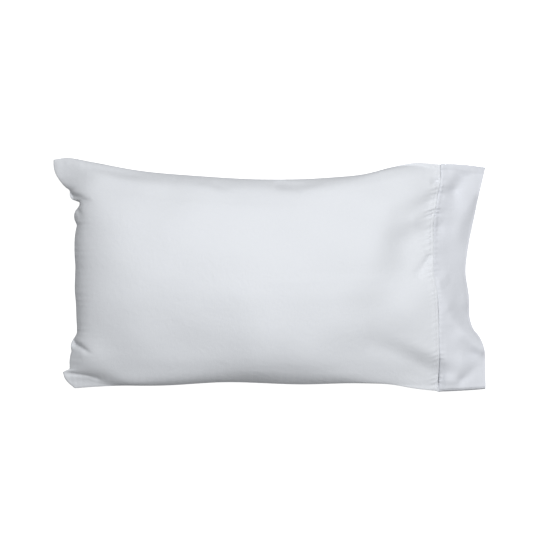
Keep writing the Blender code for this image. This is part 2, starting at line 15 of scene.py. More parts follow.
import bpy
import numpy as np
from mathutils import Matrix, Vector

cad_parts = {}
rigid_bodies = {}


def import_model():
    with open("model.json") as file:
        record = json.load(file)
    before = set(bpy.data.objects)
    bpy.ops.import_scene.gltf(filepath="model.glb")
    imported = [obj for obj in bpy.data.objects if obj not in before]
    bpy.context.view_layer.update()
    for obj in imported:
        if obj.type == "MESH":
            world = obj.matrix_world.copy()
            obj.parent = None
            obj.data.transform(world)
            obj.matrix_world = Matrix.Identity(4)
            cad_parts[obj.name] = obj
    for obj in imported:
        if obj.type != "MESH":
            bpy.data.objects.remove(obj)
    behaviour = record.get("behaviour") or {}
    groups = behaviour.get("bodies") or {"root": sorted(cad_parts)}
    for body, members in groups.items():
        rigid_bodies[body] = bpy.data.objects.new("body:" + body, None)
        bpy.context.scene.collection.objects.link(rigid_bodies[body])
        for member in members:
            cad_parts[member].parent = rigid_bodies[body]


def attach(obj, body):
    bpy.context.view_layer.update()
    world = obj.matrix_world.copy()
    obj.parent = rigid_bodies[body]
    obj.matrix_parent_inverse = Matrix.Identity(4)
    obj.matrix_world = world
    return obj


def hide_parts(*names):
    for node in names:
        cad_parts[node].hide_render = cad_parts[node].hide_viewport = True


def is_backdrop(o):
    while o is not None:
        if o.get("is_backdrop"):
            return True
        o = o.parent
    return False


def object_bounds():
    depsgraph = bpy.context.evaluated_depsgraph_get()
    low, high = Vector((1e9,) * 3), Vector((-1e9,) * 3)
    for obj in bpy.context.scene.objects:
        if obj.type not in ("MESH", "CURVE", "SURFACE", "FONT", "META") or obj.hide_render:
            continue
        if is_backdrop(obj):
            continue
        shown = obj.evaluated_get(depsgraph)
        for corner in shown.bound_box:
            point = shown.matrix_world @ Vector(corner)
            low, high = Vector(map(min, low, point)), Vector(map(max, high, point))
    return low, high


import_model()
cad_box = [list(corner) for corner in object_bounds()]
print("The packed model fills", cad_box)

# %% [markdown]
# ## The camera
#
# The photo looks straight down on the pillow's face. A Blender camera with no turn at all already looks
# down, with +Y up in the picture. The lens is long, as in product photos, because a far camera bends the
# shape less than a near one. The distance follows from the size that one pixel has on the object.

# %% Camera
PICTURE_WIDTH = 533  # pixels
METRES_PER_PIXEL = 0.00211  # at the height of the side seams
SEAM_HEIGHT = 0.06
MIDDLE_OF_PICTURE = (-0.00738, 0.01846)  # the point of the object that the picture's middle shows
LENS = 135.0  # millimetres
SENSOR = 36.0


def placed(name, data):
    """A new object in the scene, made of the given data."""
    thing = bpy.data.objects.new(name, data)
    bpy.context.scene.collection.objects.link(thing)
    return thing


camera = placed("camera", bpy.data.cameras.new("camera"))
camera.data.lens = LENS
camera.data.sensor_width = SENSOR
camera.data.clip_end = 50
distance = LENS / SENSOR * PICTURE_WIDTH * METRES_PER_PIXEL
camera.location = (*MIDDLE_OF_PICTURE, SEAM_HEIGHT + distance)
bpy.context.scene.camera = camera
print(f"The camera is {distance:.2f} m above the seams")

# %% [markdown]
# ## Smooth lines through a few points
#
# A seam is given as a handful of points. A Hermite curve runs smoothly through all of them: between two
# points it blends the points themselves and the directions in which the line passes through them. The
# same curve runs through the rows of a table, which names its columns once and then lists its values.

# %% Smooth lines
def running_total(steps):
    """How far along its line each point lies, from the steps between the points."""
    return np.concatenate([np.zeros_like(steps[:1]), np.cumsum(steps, axis=0)])


def smooth_between(at, places, values):
    """Values on a smooth line through given values at given places."""
    values = np.array(values, float)
    slopes = np.gradient(values, places, axis=0)
    before = np.clip(np.searchsorted(places, at, side="right") - 1, 0, len(places) - 2)
    step = places[before + 1] - places[before]
    u = np.clip((at - places[before]) / step, 0, 1)
    if values.ndim == 2:
        step, u = step[:, None], u[:, None]
    return (
        values[before] * (2 * u**3 - 3 * u**2 + 1)
        + values[before + 1] * (3 * u**2 - 2 * u**3)
        + slopes[before] * step * (u**3 - 2 * u**2 + u)
        + slopes[before + 1] * step * (u**3 - u**2)
    )


def along_curve(points, shares):
    """Places on a smooth line through the points, at shares of its length."""
    knots = running_total(np.linalg.norm(np.diff(points, axis=0), axis=1))
    return smooth_between(shares * knots[-1], knots, points)


# %% Tables
def table(columns, rows):
    """Rows of values under the names of their columns."""
    return [dict(zip(columns.split(), row)) for row in rows]


def column(rows, name):
    """One column of a table."""
    return np.array([row[name] for row in rows])


# %% Soft shapes
def bell(distance, width):
    """1 at no distance, fading softly to 0 over the width."""
    return np.exp(-((distance / width) ** 2))


def soft_step(share):
    """From 0 to 1 as the share does, level at both ends."""
    share = np.clip(share, 0, 1)
    return share**2 * (3 - 2 * share)


print(f"A bell keeps {bell(1, 1):.2f} of its height at its width, and {bell(2, 1):.2f} at twice that")

# %% [markdown]
# ## A sheet between four seams
#
# The side seams, the sewn end and the cuff's seam bound the body. A Coons patch fills the space between
# four such lines: it adds the two blends between opposite lines and takes away the blend of the four
# corners, which would otherwise count twice. Front and back later stand off from this middle sheet.

# %% The middle sheet
def even_across(points, shares):
    """Places on a line from side to side, at shares of its way across rather than of its length."""
    fine = np.linspace(0, 1, 2001)
    y = along_curve(points, fine)[:, 1]
    return along_curve(points, np.interp(shares, (y - y[0]) / (y[-1] - y[0]), fine))


def middle_sheet(far_side, near_side, first_end, last_end, along, across):
    """The sheet that spans four seams, as a grid of points.

    along runs from 0 at first_end to 1 at last_end, across from 1 at the far side to -1 at the near one.
    """
    u = along[:, None, None]
    v = ((1 - across) / 2)[None, :, None]
    far = along_curve(far_side, along)[:, None]
    near = along_curve(near_side, along)[:, None]
    first = even_across(first_end, (1 - across) / 2)[None]
    last = even_across(last_end, (1 - across) / 2)[None]
    corners = (1 - u) * ((1 - v) * first[:, :1] + v * first[:, -1:])
    corners = corners + u * ((1 - v) * last[:, :1] + v * last[:, -1:])
    return (1 - v) * far + v * near + (1 - u) * first + u * last - corners


# %% [markdown]
# ## Where the seams run
#
# The points are those of the plain model, in metres: +X runs from the sewn end to the mouth, +Y across to
# the far side, and +Z up. The filling draws the long sides in between the corners.

# %% The seams of the body
FAR_EAR = (-0.4590, 0.2455, 0.034)
NEAR_EAR = (-0.4110, -0.2402, 0.032)
FAR_SEAM_END = (0.3600, 0.2336, 0.060)
NEAR_SEAM_END = (0.3530, -0.2448, 0.050)
FAR_SIDE = [
    FAR_EAR, (-0.43, 0.2486, 0.041), (-0.38, 0.2402, 0.054), (-0.2784, 0.221, 0.068),
    (-0.15, 0.2088, 0.077), (0.0, 0.2014, 0.079), (0.128, 0.2056, 0.078), (0.2, 0.213, 0.076),
    (0.256, 0.2275, 0.073), (0.305, 0.2366, 0.068), FAR_SEAM_END,
]
NEAR_SIDE = [
    NEAR_EAR, (-0.38, -0.2372, 0.039), (-0.33, -0.234, 0.05), (-0.22, -0.2323, 0.062),
    (-0.1, -0.2254, 0.066), (0.07, -0.2298, 0.067), (0.19, -0.2276, 0.065), (0.255, -0.2305, 0.061),
    (0.306, -0.2392, 0.056), NEAR_SEAM_END,
]
SEWN_END = [
    FAR_EAR, (-0.4585, 0.225, 0.034), (-0.452, 0.208, 0.035), (-0.44, 0.192, 0.039), (-0.425, 0.174, 0.047),
    (-0.4145, 0.145, 0.056), (-0.411, 0.11, 0.062), (-0.411, 0.0, 0.064), (-0.41, -0.1, 0.06),
    (-0.4165, -0.15, 0.051), (-0.423, -0.185, 0.045), (-0.43, -0.208, 0.038), (-0.425, -0.229, 0.033),
    NEAR_EAR,
]
CUFF_SEAM = [
    FAR_SEAM_END, (0.36, 0.208, 0.06), (0.3572, 0.185, 0.061), (0.351, 0.156, 0.062),
    (0.3455, 0.125, 0.063), (0.3432, 0.083, 0.064), (0.3424, 0.03, 0.065), (0.342, 0.005, 0.065),
    (0.3455, -0.015, 0.065), (0.35, -0.036, 0.065), (0.3527, -0.07, 0.063), (0.3548, -0.13, 0.06),
    (0.3562, -0.18, 0.056), (0.3558, -0.21, 0.053), NEAR_SEAM_END,
]
print(len(FAR_SIDE) + len(NEAR_SIDE) + len(SEWN_END) + len(CUFF_SEAM), "points give the body's seams")

# %% The sewn end's exact outline
# As y and x: ears, knobs, notches and the roll between them. This line shapes only the first centimetres
# of the cloth. SEWN_END gives the whole body its even course.
END_OUTLINE = [
    (0.2455, -0.4596), (0.2351, -0.4598), (0.2266, -0.4589), (0.2181, -0.4565), (0.2096, -0.4523),
    (0.201, -0.4464), (0.1924, -0.4397), (0.1859, -0.433), (0.1794, -0.4243), (0.1766, -0.4234),
    (0.1709, -0.4238), (0.1666, -0.4229), (0.1623, -0.4203), (0.1593, -0.4168), (0.1573, -0.4108),
    (0.1555, -0.4027), (0.1532, -0.4004), (0.1505, -0.3995), (0.1474, -0.4003), (0.1431, -0.4035),
    (0.1388, -0.4083), (0.1325, -0.4119), (0.124, -0.4132), (0.1155, -0.4117), (0.1089, -0.4083),
    (0.1044, -0.4068), (0.0985, -0.4083), (0.0901, -0.41), (0.078, -0.4115), (0.06, -0.412),
    (0.038, -0.4114), (0.02, -0.4101), (0.0, -0.4106), (-0.03, -0.4114), (-0.06, -0.409), (-0.09, -0.4081),
    (-0.1151, -0.4071), (-0.123, -0.4077), (-0.1294, -0.4118), (-0.1379, -0.4178), (-0.1464, -0.4211),
    (-0.155, -0.421), (-0.1592, -0.4199), (-0.1655, -0.4215), (-0.1763, -0.4238), (-0.1847, -0.4245),
    (-0.1933, -0.4245), (-0.1989, -0.4255), (-0.2017, -0.433), (-0.204, -0.4385), (-0.2062, -0.4393),
    (-0.2105, -0.4379), (-0.2148, -0.4369), (-0.2192, -0.4347), (-0.2234, -0.4314), (-0.2277, -0.4277),
    (-0.232, -0.4232), (-0.2362, -0.4177), (-0.2408, -0.4117),
]
OUTLINE_REACH = 0.018  # how far this outline shows along the body, as a share of its length
print(len(END_OUTLINE), "points give the sewn end's outline")

# %% [markdown]
# ## How finely the cloth is divided
#
# A seam turns within a millimetre, but the crown is smooth over hundreds of them. So the grid's steps
# start small at each seam, grow by a fixed factor, and stay at a cruising size in between.

# %% Graded steps
def graded_shares(length, first, cruise, last, growth):
    """Shares from 0 to 1, in steps that start small, grow to a cruising size and end small."""

    def ramp(smallest):
        count = math.ceil(math.log(cruise / smallest) / math.log(growth))
        return smallest * growth ** np.arange(count)

    start, end = ramp(first), ramp(last)[::-1]
    count = max(1, round((length - start.sum() - end.sum()) / cruise))
    count += (len(start) + len(end) + count) % 2  # an even number, so that every second one is kept
    steps = np.concatenate([start, np.full(count, (length - start.sum() - end.sum()) / count), end])
    return running_total(steps) / steps.sum()


# %% Rows and columns
BODY_LENGTH = 0.78
CLOTH_WIDTH = 0.475
CUFF_DEPTH = 0.098
along_body = graded_shares(BODY_LENGTH, 0.0006, 0.0046, 0.0004, 1.09)
along_cuff = graded_shares(CUFF_DEPTH, 0.0004, 0.0024, 0.0010, 1.16)
across = 1 - 2 * graded_shares(CLOTH_WIDTH, 0.0005, 0.0019, 0.0005, 1.15)
print(f"The body has {len(along_body)} rows and the cuff {len(along_cuff)}, of {len(across)} points each")

# %% [markdown]
# ## How round the filling makes the cloth
#
# The pillow lifts the cloth most in the middle. Beside a seam the cloth rises as a steep shoulder, and then
# goes over into a dome. Three numbers give that rise: the share of the height that the shoulder takes, the
# shoulder's width, and the crest, which says how soon the dome levels out.

# %% How round the sides are
# How the two long sides round over, at shares of the body's length: shoulder, width, crest, and the flat
# strip beside the seam that the filling doesn't lift.
SIDE_ROUND = table("along far near", [
    (0.0, (0.4, 0.02, 4.0, 0.004), (0.03, 0.12, 2.2, 0.05)),
    (0.14, (0.49, 0.056, 1.8, 0.001), (0.26, 0.024, 1.7, 0.003)),
    (0.28, (0.61, 0.071, 1.5, 0.0), (0.36, 0.034, 1.6, 0.0)),
    (0.42, (0.62, 0.062, 2.1, 0.0), (0.41, 0.047, 2.0, 0.0)),
    (0.56, (0.69, 0.094, 1.1, 0.0), (0.47, 0.08, 2.3, 0.0)),
    (0.7, (0.67, 0.057, 1.4, 0.0), (0.48, 0.068, 1.8, 0.0)),
    (0.84, (0.35, 0.02, 4.0, 0.0), (0.12, 0.03, 1.3, 0.0)),
    (1.0, (0.23, 0.056, 1.1, 0.047), (0.0, 0.106, 3.2, 0.055)),
])


def rounded(share, shoulder, width, crest):
    """From 0 at a seam to 1 at the crown: a steep shoulder beside the seam, then a dome."""
    share = np.clip(share, 0, 1)
    return shoulder * (1 - np.exp(-share / width)) + (1 - shoulder) * (1 - (1 - share) ** crest)


print(len(SIDE_ROUND), "stations give the roundness of each long side")

# %% The flat ears
# The two flat ears at the sewn end, where the filling doesn't reach.
EARS = table("x y reach_x reach_y", [
    (-0.492, 0.228, 0.107, 0.052), (-0.412, -0.24, 0.08, 0.035),
])


def ear_flatness(x, y):
    """1 in the ears, 0 in the filled part, with a soft edge between them."""
    flat = np.zeros_like(x)
    for ear in EARS:
        away = ((x - ear["x"]) / ear["reach_x"]) ** 2 + ((y - ear["y"]) / ear["reach_y"]) ** 2
        flat = np.maximum(flat, np.exp(-(away**2)))
    return flat


print("Flatness in the middle of the body:", ear_flatness(np.array([0.0]), np.array([0.0]))[0])

# %% Fullness
CROWN_AT = 0.50  # where the front is highest, as a share of the body's length
END_ROUND = (0.42, 0.04, 4.73)  # shoulder, width and crest of the sewn end
FALL_TO_CUFF = 0.60  # the share of the height that is lost between the crown and the cuff's seam
FALL_POWER = 2.10


def side_fullness(side, along, from_side):
    """The rise from one long side to the middle, with the side's own roundness at each station."""
    stations = smooth_between(along, column(SIDE_ROUND, "along"), column(SIDE_ROUND, side))
    shoulder, width, crest, flat = stations.T[..., None]
    return rounded((from_side - flat) / (1 - flat), shoulder, width, crest)


def fullness(along, across):
    """The share of the filling's full height that stands at each point of the body."""
    past_crown = np.clip((along - CROWN_AT) / (1 - CROWN_AT), 0, 1)
    rise = rounded(along / CROWN_AT, *END_ROUND)
    fall = 1 - FALL_TO_CUFF * past_crown**FALL_POWER
    from_side = 1 - np.abs(across)
    far, near = side_fullness("far", along, from_side), side_fullness("near", along, from_side)
    return np.where(along < CROWN_AT, rise, fall)[:, None] * np.where(across > 0, far, near)


print("Fullness at the crown:", fullness(np.array([CROWN_AT]), np.array([0.0]))[0, 0])

# %% [markdown]
# ## Folds
#
# A pull in cloth shows as a soft trough that is deepest where the cloth is held and fades along its way.
# Each row of the tables below is one such trough: its depth and its half width at its start and end, and
# the line that it follows. A ridge is a trough with a depth below zero.

# %% Troughs along lines
def lowered_by(folds, x, y):
    """How far the folds lower the cloth at each point."""
    depth = np.zeros_like(x)
    for fold in folds:
        line = np.array(fold["line"])
        runs = np.diff(line, axis=0)
        lengths = np.linalg.norm(runs, axis=1)
        nearest = np.full_like(x, np.inf)
        share = np.zeros_like(x)
        for start, run, length, passed in zip(line, runs, lengths, np.cumsum(lengths) - lengths):
            part = ((x - start[0]) * run[0] + (y - start[1]) * run[1]) / length**2
            part = np.clip(part, 0, 1)
            away = np.hypot(x - start[0] - part * run[0], y - start[1] - part * run[1])
            share = np.where(away < nearest, (passed + part * length) / lengths.sum(), share)
            nearest = np.minimum(nearest, away)
        (first_depth, last_depth), (first_width, last_width) = fold["depth"], fold["half_width"]
        width = first_width + (last_width - first_width) * share
        depth += (first_depth + (last_depth - first_depth) * share) * bell(nearest, width)
    return depth


# %% [markdown]
# The body's folds are the creases that part the two flat ears from the filling, the shallow valley and
# dimples behind the far side seam, and the pulls from the cuff's seam to where the pillow ends.

# %% The body's folds
BODY_FOLDS = table("depth half_width line", [
    # under the far ear
    ((0.018, 0.0006), (0.0074, 0.0058),
     [(-0.425, 0.169), (-0.4074, 0.1645), (-0.3926, 0.1605), (-0.3757, 0.154)]),
    ((0.0062, 0.002), (0.0046, 0.006), [(-0.402, 0.137), (-0.395, 0.125)]),
    # over the near ear
    ((0.016, 0.0007), (0.008, 0.0045),
     [(-0.4158, -0.1423), (-0.4053, -0.1471), (-0.3926, -0.1534), (-0.3757, -0.1634)]),
    ((0.0042, 0.0026), (0.004, 0.004),
     [(-0.43, -0.2073), (-0.4004, -0.2086), (-0.3793, -0.2115), (-0.3604, -0.2185)]),
    # behind the far side seam
    ((0.0013, 0.003), (0.0079, 0.015),
     [(-0.3889, 0.2266), (-0.3636, 0.2214), (-0.3243, 0.2089), (-0.2676, 0.2058), (-0.2001, 0.2028)]),
    ((0.0038, 0.0023), (0.0071, 0.0071), [(-0.1129, 0.1863), (-0.0919, 0.1818)]),
    ((0.0077, 0.0022), (0.0103, 0.0094), [(0.0209, 0.1902), (0.0543, 0.1846), (0.0881, 0.1926)]),
    # drawn from the cuff's seam towards the filling
    ((0.0075, -0.0003), (0.0063, 0.0063), [(0.3509, 0.1987), (0.3347, 0.195)]),
    ((0.0103, 0.0039), (0.0141, 0.0201),
     [(0.354, 0.1677), (0.327, 0.1497), (0.2999, 0.1364), (0.272, 0.1277)]),
    ((0.0075, -0.0015), (0.0082, 0.0124), [(0.3431, 0.13), (0.3197, 0.1202), (0.3027, 0.1147)]),
    ((0.01, 0.0075), (0.02, 0.032), [(0.3428, 0.098), (0.2995, 0.09), (0.2731, 0.07)]),
    ((0.0052, 0.0042), (0.0068, 0.01), [(0.334, 0.0385), (0.3223, 0.0204), (0.3096, 0.0035)]),
    ((-0.0012, -0.001), (0.006, 0.006), [(0.3424, 0.0232), (0.3377, 0.0022)]),
    ((0.0026, 0.0032), (0.0126, 0.0212),
     [(0.3545, -0.2064), (0.3334, -0.1958), (0.2891, -0.1716), (0.2533, -0.1568), (0.2153, -0.1431)]),
    ((-0.0042, 0.0011), (0.0154, 0.0209),
     [(0.3539, -0.1693), (0.3328, -0.1609), (0.2885, -0.1419), (0.2527, -0.1292), (0.2147, -0.1166)]),
    # where the filling ends
    ((0.0058, 0.007), (0.038, 0.0599), [(0.2857, 0.1354), (0.2787, -0.0296)]),
])
print(len(BODY_FOLDS), "folds on the body")

# %% The groove behind the far seam
# How deep the groove behind the seam's lip is along the seam.
FAR_GROOVE = table("x depth", [
    (-0.46, -0.0009), (-0.4, -0.0008), (-0.32, 0.0079), (-0.24, 0.0022), (-0.18, 0.0009), (-0.12, 0.0054),
    (-0.05, 0.0015), (0.03, 0.0034), (0.09, 0.0034), (0.15, 0.0007), (0.22, 0.0025), (0.37, -0.0001),
])
GROOVE_AT = 0.0114
GROOVE_WIDTH = 0.0099


def far_groove(x, from_far):
    """How far the groove behind the far seam's lip lowers the cloth."""
    depth = smooth_between(x, column(FAR_GROOVE, "x"), column(FAR_GROOVE, "depth"))
    return depth * bell(from_far - GROOVE_AT, GROOVE_WIDTH)


print(f"The groove is {1000 * column(FAR_GROOVE, 'depth').max():.1f} mm deep at most")

# %% Lumps in the filling
# Where the filling is a little fuller or emptier than the smooth shape.
LUMPS = table("x y height radius", [
    (-0.34, 0.13, -0.0017, 0.06), (-0.34, 0.0, -0.0025, 0.07), (-0.34, -0.13, -0.002, 0.06),
    (-0.378, -0.17, 0.006, 0.034), (-0.2, 0.09, 0.0002, 0.08), (-0.2, -0.08, -0.0048, 0.08),
    (-0.03, 0.1, -0.0054, 0.08), (-0.03, -0.07, 0.001, 0.08), (-0.02, -0.17, 0.0075, 0.05),
    (0.11, 0.09, -0.0049, 0.08), (0.11, -0.06, -0.0061, 0.08), (0.12, -0.17, -0.0026, 0.05),
    (0.21, 0.15, 0.0035, 0.05), (0.22, 0.05, 0.0045, 0.06), (0.22, -0.07, 0.0037, 0.06),
    (0.23, -0.18, -0.0007, 0.05), (0.29, 0.13, 0.0085, 0.045), (0.29, 0.03, -0.0085, 0.045),
    (0.29, -0.07, 0.0064, 0.045), (0.31, -0.2, -0.0052, 0.035),
])


def lifted_by(lumps, x, y):
    """How far broad lumps lift the cloth."""
    lift = np.zeros_like(x)
    for lump in lumps:
        lift += lump["height"] * bell(np.hypot(x - lump["x"], y - lump["y"]), lump["radius"])
    return lift


print(len(LUMPS), "lumps in the filling")

# %% [markdown]
# ## Chance
#
# Puckers and the filling's unevenness are never regular. Both come from sums of sine waves whose phases
# are drawn from a seeded generator, so they look like chance but are the same at each run.

# %% Uneven waves
def uneven_wave(place, pitch, seed):
    """A wave whose length and height wander, so that no two puckers are alike.

    The wandering waves are a few puckers long, with lengths that never fall in step.
    """
    phase = np.random.default_rng(seed).uniform(0, 2 * math.pi, 4)
    turns = 2 * math.pi * place / pitch
    wander = 1.1 * np.sin(turns / 3.7 + phase[0]) + 0.7 * np.sin(turns / 8.3 + phase[1])
    height = 0.65 + 0.35 * np.sin(turns / 5.1 + phase[2])
    return height * np.sin(turns + wander + phase[3])


def soft_swells(x, y, size, seed, waves=16):
    """Low, broad swells in all directions, from about -1 to 1."""
    chance = np.random.default_rng(seed)
    turns = chance.uniform(0, math.pi, waves)
    phases = chance.uniform(0, 2 * math.pi, waves)
    sizes = size * chance.uniform(0.6, 1.7, waves)
    total = np.zeros_like(x)
    for turn, phase, length in zip(turns, phases, sizes):
        total += np.sin((x * math.cos(turn) + y * math.sin(turn)) * 2 * math.pi / length + phase)
    return total / math.sqrt(waves)


# %% [markdown]
# ## How cloth leaves a seam
#
# A plain seam that is turned right side out lies in a fine groove, and each panel bulges out beyond it. So
# the grid's edge is set back a little, and the cloth next to it swings out past the edge within a few
# millimetres. The two layers have no thickness at the stitches and reach their full one beside them.

# %% Seam profiles
EDGE_THICKNESS = 0.0034  # two layers of cloth with their turned-in allowance
SEAM_TURN = 0.0012  # how fast the cloth turns away from the stitches
BULGE_REACH = 0.030  # how far from the seam the bulge is still felt


def out_past_seam(distance, bulge):
    """How far the cloth stands out sideways at a distance from its seam. The outline stays where it was."""
    furthest = bulge - SEAM_TURN - SEAM_TURN * math.log(bulge / SEAM_TURN)
    return (bulge * (1 - np.exp(-distance / SEAM_TURN)) - furthest) * np.exp(-distance / BULGE_REACH)


# %% Puckers and normals
PUCKER_PITCH = 0.015
PUCKER_HEIGHT = 0.0005
PUCKER_REACH = 0.016


def seam_puckers(place, distance, seed):
    """The little ripples that the stitches draw into a seam's edges."""
    reach = distance / PUCKER_REACH
    return PUCKER_HEIGHT * uneven_wave(place, PUCKER_PITCH, seed) * reach * np.exp(1 - 1.5 * reach)


def outward_normals(points):
    """Unit normals of a grid of points that is seen from its front."""
    normals = np.cross(np.gradient(points, axis=1), np.gradient(points, axis=0))
    return normals / np.maximum(np.linalg.norm(normals, axis=-1, keepdims=True), 1e-12)


# %% [markdown]
# ## The seam between body and cuff
#
# The cuff is joined with a flat seam: the body's cloth is folded under, the fold lies on the cuff, and two
# rows of topstitching hold the layers down about 6 and 12 mm from the fold. That makes three things to
# see: a low band, a dark line where the fold ends, and puckers between the rows. A table gives them at
# stations along the seam: the puckers are highest in the far half, and the fold is crispest near both sides.

# %% Stations along the cuff's seam
# Along the seam, from the near side to the far one: how high its puckers are, and how crisp its fold is.
SEAM_STATIONS = table("y pucker crisp", [
    (-0.245, 0.0004, 0.6), (-0.205, 0.0006, 0.7), (-0.175, 0.0005, 0.6), (-0.15, 0.0004, 0.5),
    (-0.045, 0.0003, 0.4), (-0.01, 0.001, 0.2), (0.06, 0.0013, 0.2), (0.15, 0.0015, 0.3),
    (0.19, 0.001, 0.8), (0.215, 0.0003, 0.9), (0.24, 0.0002, 1.0),
])


def along_seam(y, what):
    """A value of the table above at a place along the seam."""
    return np.interp(y, column(SEAM_STATIONS, "y"), column(SEAM_STATIONS, what))


print("The fold's crispness in the middle of the seam:", float(along_seam(0.0, "crisp")))

# %% Profile of the cuff's seam
STITCH_ROWS = (0.0055, 0.0118)  # distance of each row from the fold
BAND_WIDTH = 0.0135
BAND_RISE = 0.0007  # the folded-under layers
BAND_EDGE = 0.0022  # over this distance the layers end
FOLD_DROP = 0.0024  # how far the fold's edge drops to the cuff
FOLD_ROUNDING = 0.0009
STITCH_DIP = 0.0004
STITCH_DIP_WIDTH = 0.0010
SEAM_PUCKER_PITCH = 0.0118
SEAM_PUCKER_LEAN = 0.35  # how far a pucker slants, as a share of its length
# Where the puckers stand, from the fold: between the two rows of stitches, and weaker beyond them.
PUCKER_BANDS = table("at width share", [(0.0085, 0.0060, 1.0), (0.018, 0.010, 0.35)])


def band_profile(y, distance):
    """The body's side of the cuff's seam: band, fold, stitched rows and puckers."""
    height = BAND_RISE * soft_step((BAND_WIDTH - distance) / BAND_EDGE + 0.5)
    height -= FOLD_DROP * along_seam(y, "crisp") * np.exp(-distance / FOLD_ROUNDING)
    for row in STITCH_ROWS:
        height -= STITCH_DIP * bell(distance - row, STITCH_DIP_WIDTH)
    wave = uneven_wave(y + SEAM_PUCKER_LEAN * distance, SEAM_PUCKER_PITCH, seed=4)
    reach = sum(band["share"] * bell(distance - band["at"], band["width"]) for band in PUCKER_BANDS)
    return height + along_seam(y, "pucker") * wave * reach


# %% [markdown]
# ## The filled body
#
# Front and back stand off from the middle sheet by the filling's height, less the folds. What would hang
# below the floor is laid flat on it. The fine shapes are then added along the cloth's own normals, so they
# also show on the steep sides, where a change of height alone would not.

# %% The floor, the outline and the distances
FLOOR_ROUNDING = 0.010  # height over which the back turns away from the floor


def laid_on_floor(z):
    """Flattens what would lie below the floor, with a smooth turn up from it."""
    turn = (z + FLOOR_ROUNDING) ** 2 / (4 * FLOOR_ROUNDING)
    return np.where(z < -FLOOR_ROUNDING, 0, np.where(z < FLOOR_ROUNDING, turn, z))


def with_outline(sheet, along):
    """Moves the sewn end to its exact outline, and fades that shift along the body."""
    y, x = np.array(END_OUTLINE[::-1]).T
    shift = smooth_between(sheet[0, :, 1], y, x) - sheet[0, :, 0]
    sheet[..., 0] += shift * np.exp(-along / OUTLINE_REACH)[:, None]
    return sheet


def seam_distances(sheet, along, across):
    """Distances in metres from the far side, the near side, the sewn end and the cuff's seam."""
    width = np.linalg.norm(sheet[:, 0] - sheet[:, -1], axis=-1)[:, None]
    length = np.linalg.norm(sheet[0] - sheet[-1], axis=-1)[None]
    share = (1 - across)[None] / 2
    return share * width, (1 - share) * width, along[:, None] * length, (1 - along)[:, None] * length


print("Cloth that would hang 20 mm below the floor lies at", float(laid_on_floor(-0.020)), "m")

# %% Surfaces of the body
CROWN_ABOVE_SEAM = 0.079
BELLY_BELOW_SEAM = 0.110
SWELL_SIZE = 0.11
SWELL_HEIGHT = 0.0009
EAR_EMPTINESS = 0.85  # the share of the filling that the ears lack
EAR_SLACK = 0.9  # the share of the end's bulge that they lack
LUMP_MARGIN = 0.03  # lumps and swells grow to their full height over this distance from a seam
FILLING_SOFTNESS = 0.002  # how softly the cloth comes down where there is no filling
BAND_MARGIN = 0.004  # the cuff's seam runs out over this distance from the sides
FAR_BULGE = 0.0015
NEAR_BULGE = 0.0016
END_BULGE = 0.0016


def body_surfaces(along, across):
    """The front and the back of the filled body, as grids of points."""
    sheet = middle_sheet(FAR_SIDE, NEAR_SIDE, SEWN_END, CUFF_SEAM, along, across)
    sheet = with_outline(sheet, along)
    from_far, from_near, from_end, from_cuff = seam_distances(sheet, along, across)
    nearest = np.minimum(np.minimum(from_far, from_near), from_end)
    edge = EDGE_THICKNESS / 2 * (1 - np.exp(-nearest / SEAM_TURN))
    x, y = sheet[..., 0], sheet[..., 1]
    in_ear = ear_flatness(x, y)
    full = fullness(along, across) * (1 - EAR_EMPTINESS * in_ear)
    folds = lowered_by(BODY_FOLDS, x, y) + far_groove(x, from_far)
    inside = np.clip(nearest / LUMP_MARGIN, 0, 1)
    filling = CROWN_ABOVE_SEAM * full + lifted_by(LUMPS, x, y) * soft_step(inside) - folds
    softness = FILLING_SOFTNESS * (1 - np.exp(-nearest / SEAM_TURN))
    filling = (filling + np.sqrt(filling**2 + softness**2)) / 2
    front, back = sheet.copy(), sheet.copy()
    front[..., 2] += edge + filling
    back[..., 2] = laid_on_floor(sheet[..., 2] - edge - BELLY_BELOW_SEAM * full)
    ripples = seam_puckers(x, from_far, seed=1) + seam_puckers(x, from_near, seed=2)
    ripples += seam_puckers(y, from_end, seed=3)
    swells = SWELL_HEIGHT * soft_swells(x, y, SWELL_SIZE, seed=5) * inside
    band = band_profile(y, from_cuff) * np.clip(nearest / BAND_MARGIN, 0, 1)
    for surface, side in ((front, 1), (back, -1)):
        surface[..., 1] += out_past_seam(from_far, FAR_BULGE) - out_past_seam(from_near, NEAR_BULGE)
        surface[..., 0] -= out_past_seam(from_end, END_BULGE) * (1 - EAR_SLACK * in_ear)
        lift = ripples + band + (swells if side > 0 else 0)
        surface += outward_normals(surface) * (side * lift)[..., None]
    back[..., 2] = np.maximum(back[..., 2], 0)
    # Front and back are one line at the three sewn edges.
    for edge_line in (np.s_[0], np.s_[:, 0], np.s_[:, -1]):
        front[edge_line] = back[edge_line] = (front[edge_line] + back[edge_line]) / 2
    return front, back


# %% The body's front and back
body_front, body_back = body_surfaces(along_body, across)
print(f"The crown is {body_front[..., 2].max() * 1000:.0f} mm above the floor")

# %% [markdown]
# ## From grids to meshes
#
# A mesh is made from one list of points and one of faces. Grids share a row or a column where they are
# sewn together, and repeated corners are dropped, so a quad whose two corners meet becomes a triangle.
# The body's back keeps every second column only, because nobody looks at it closely.
#
# Every point also gets a place on the flat cloth in metres, which the weave uses later. It is measured
# along the surface, so the threads keep their size on the steep sides.

# %% Mesh helpers
def places_on_cloth(grid):
    """For each point of a grid, how far it lies along and across the cloth, measured on the surface."""
    along_place = running_total(np.linalg.norm(np.diff(grid, axis=0), axis=-1))
    across_place = running_total(np.linalg.norm(np.diff(grid, axis=1), axis=-1).T).T
    return np.stack([along_place, across_place - across_place[:, -1:] / 2], axis=-1)


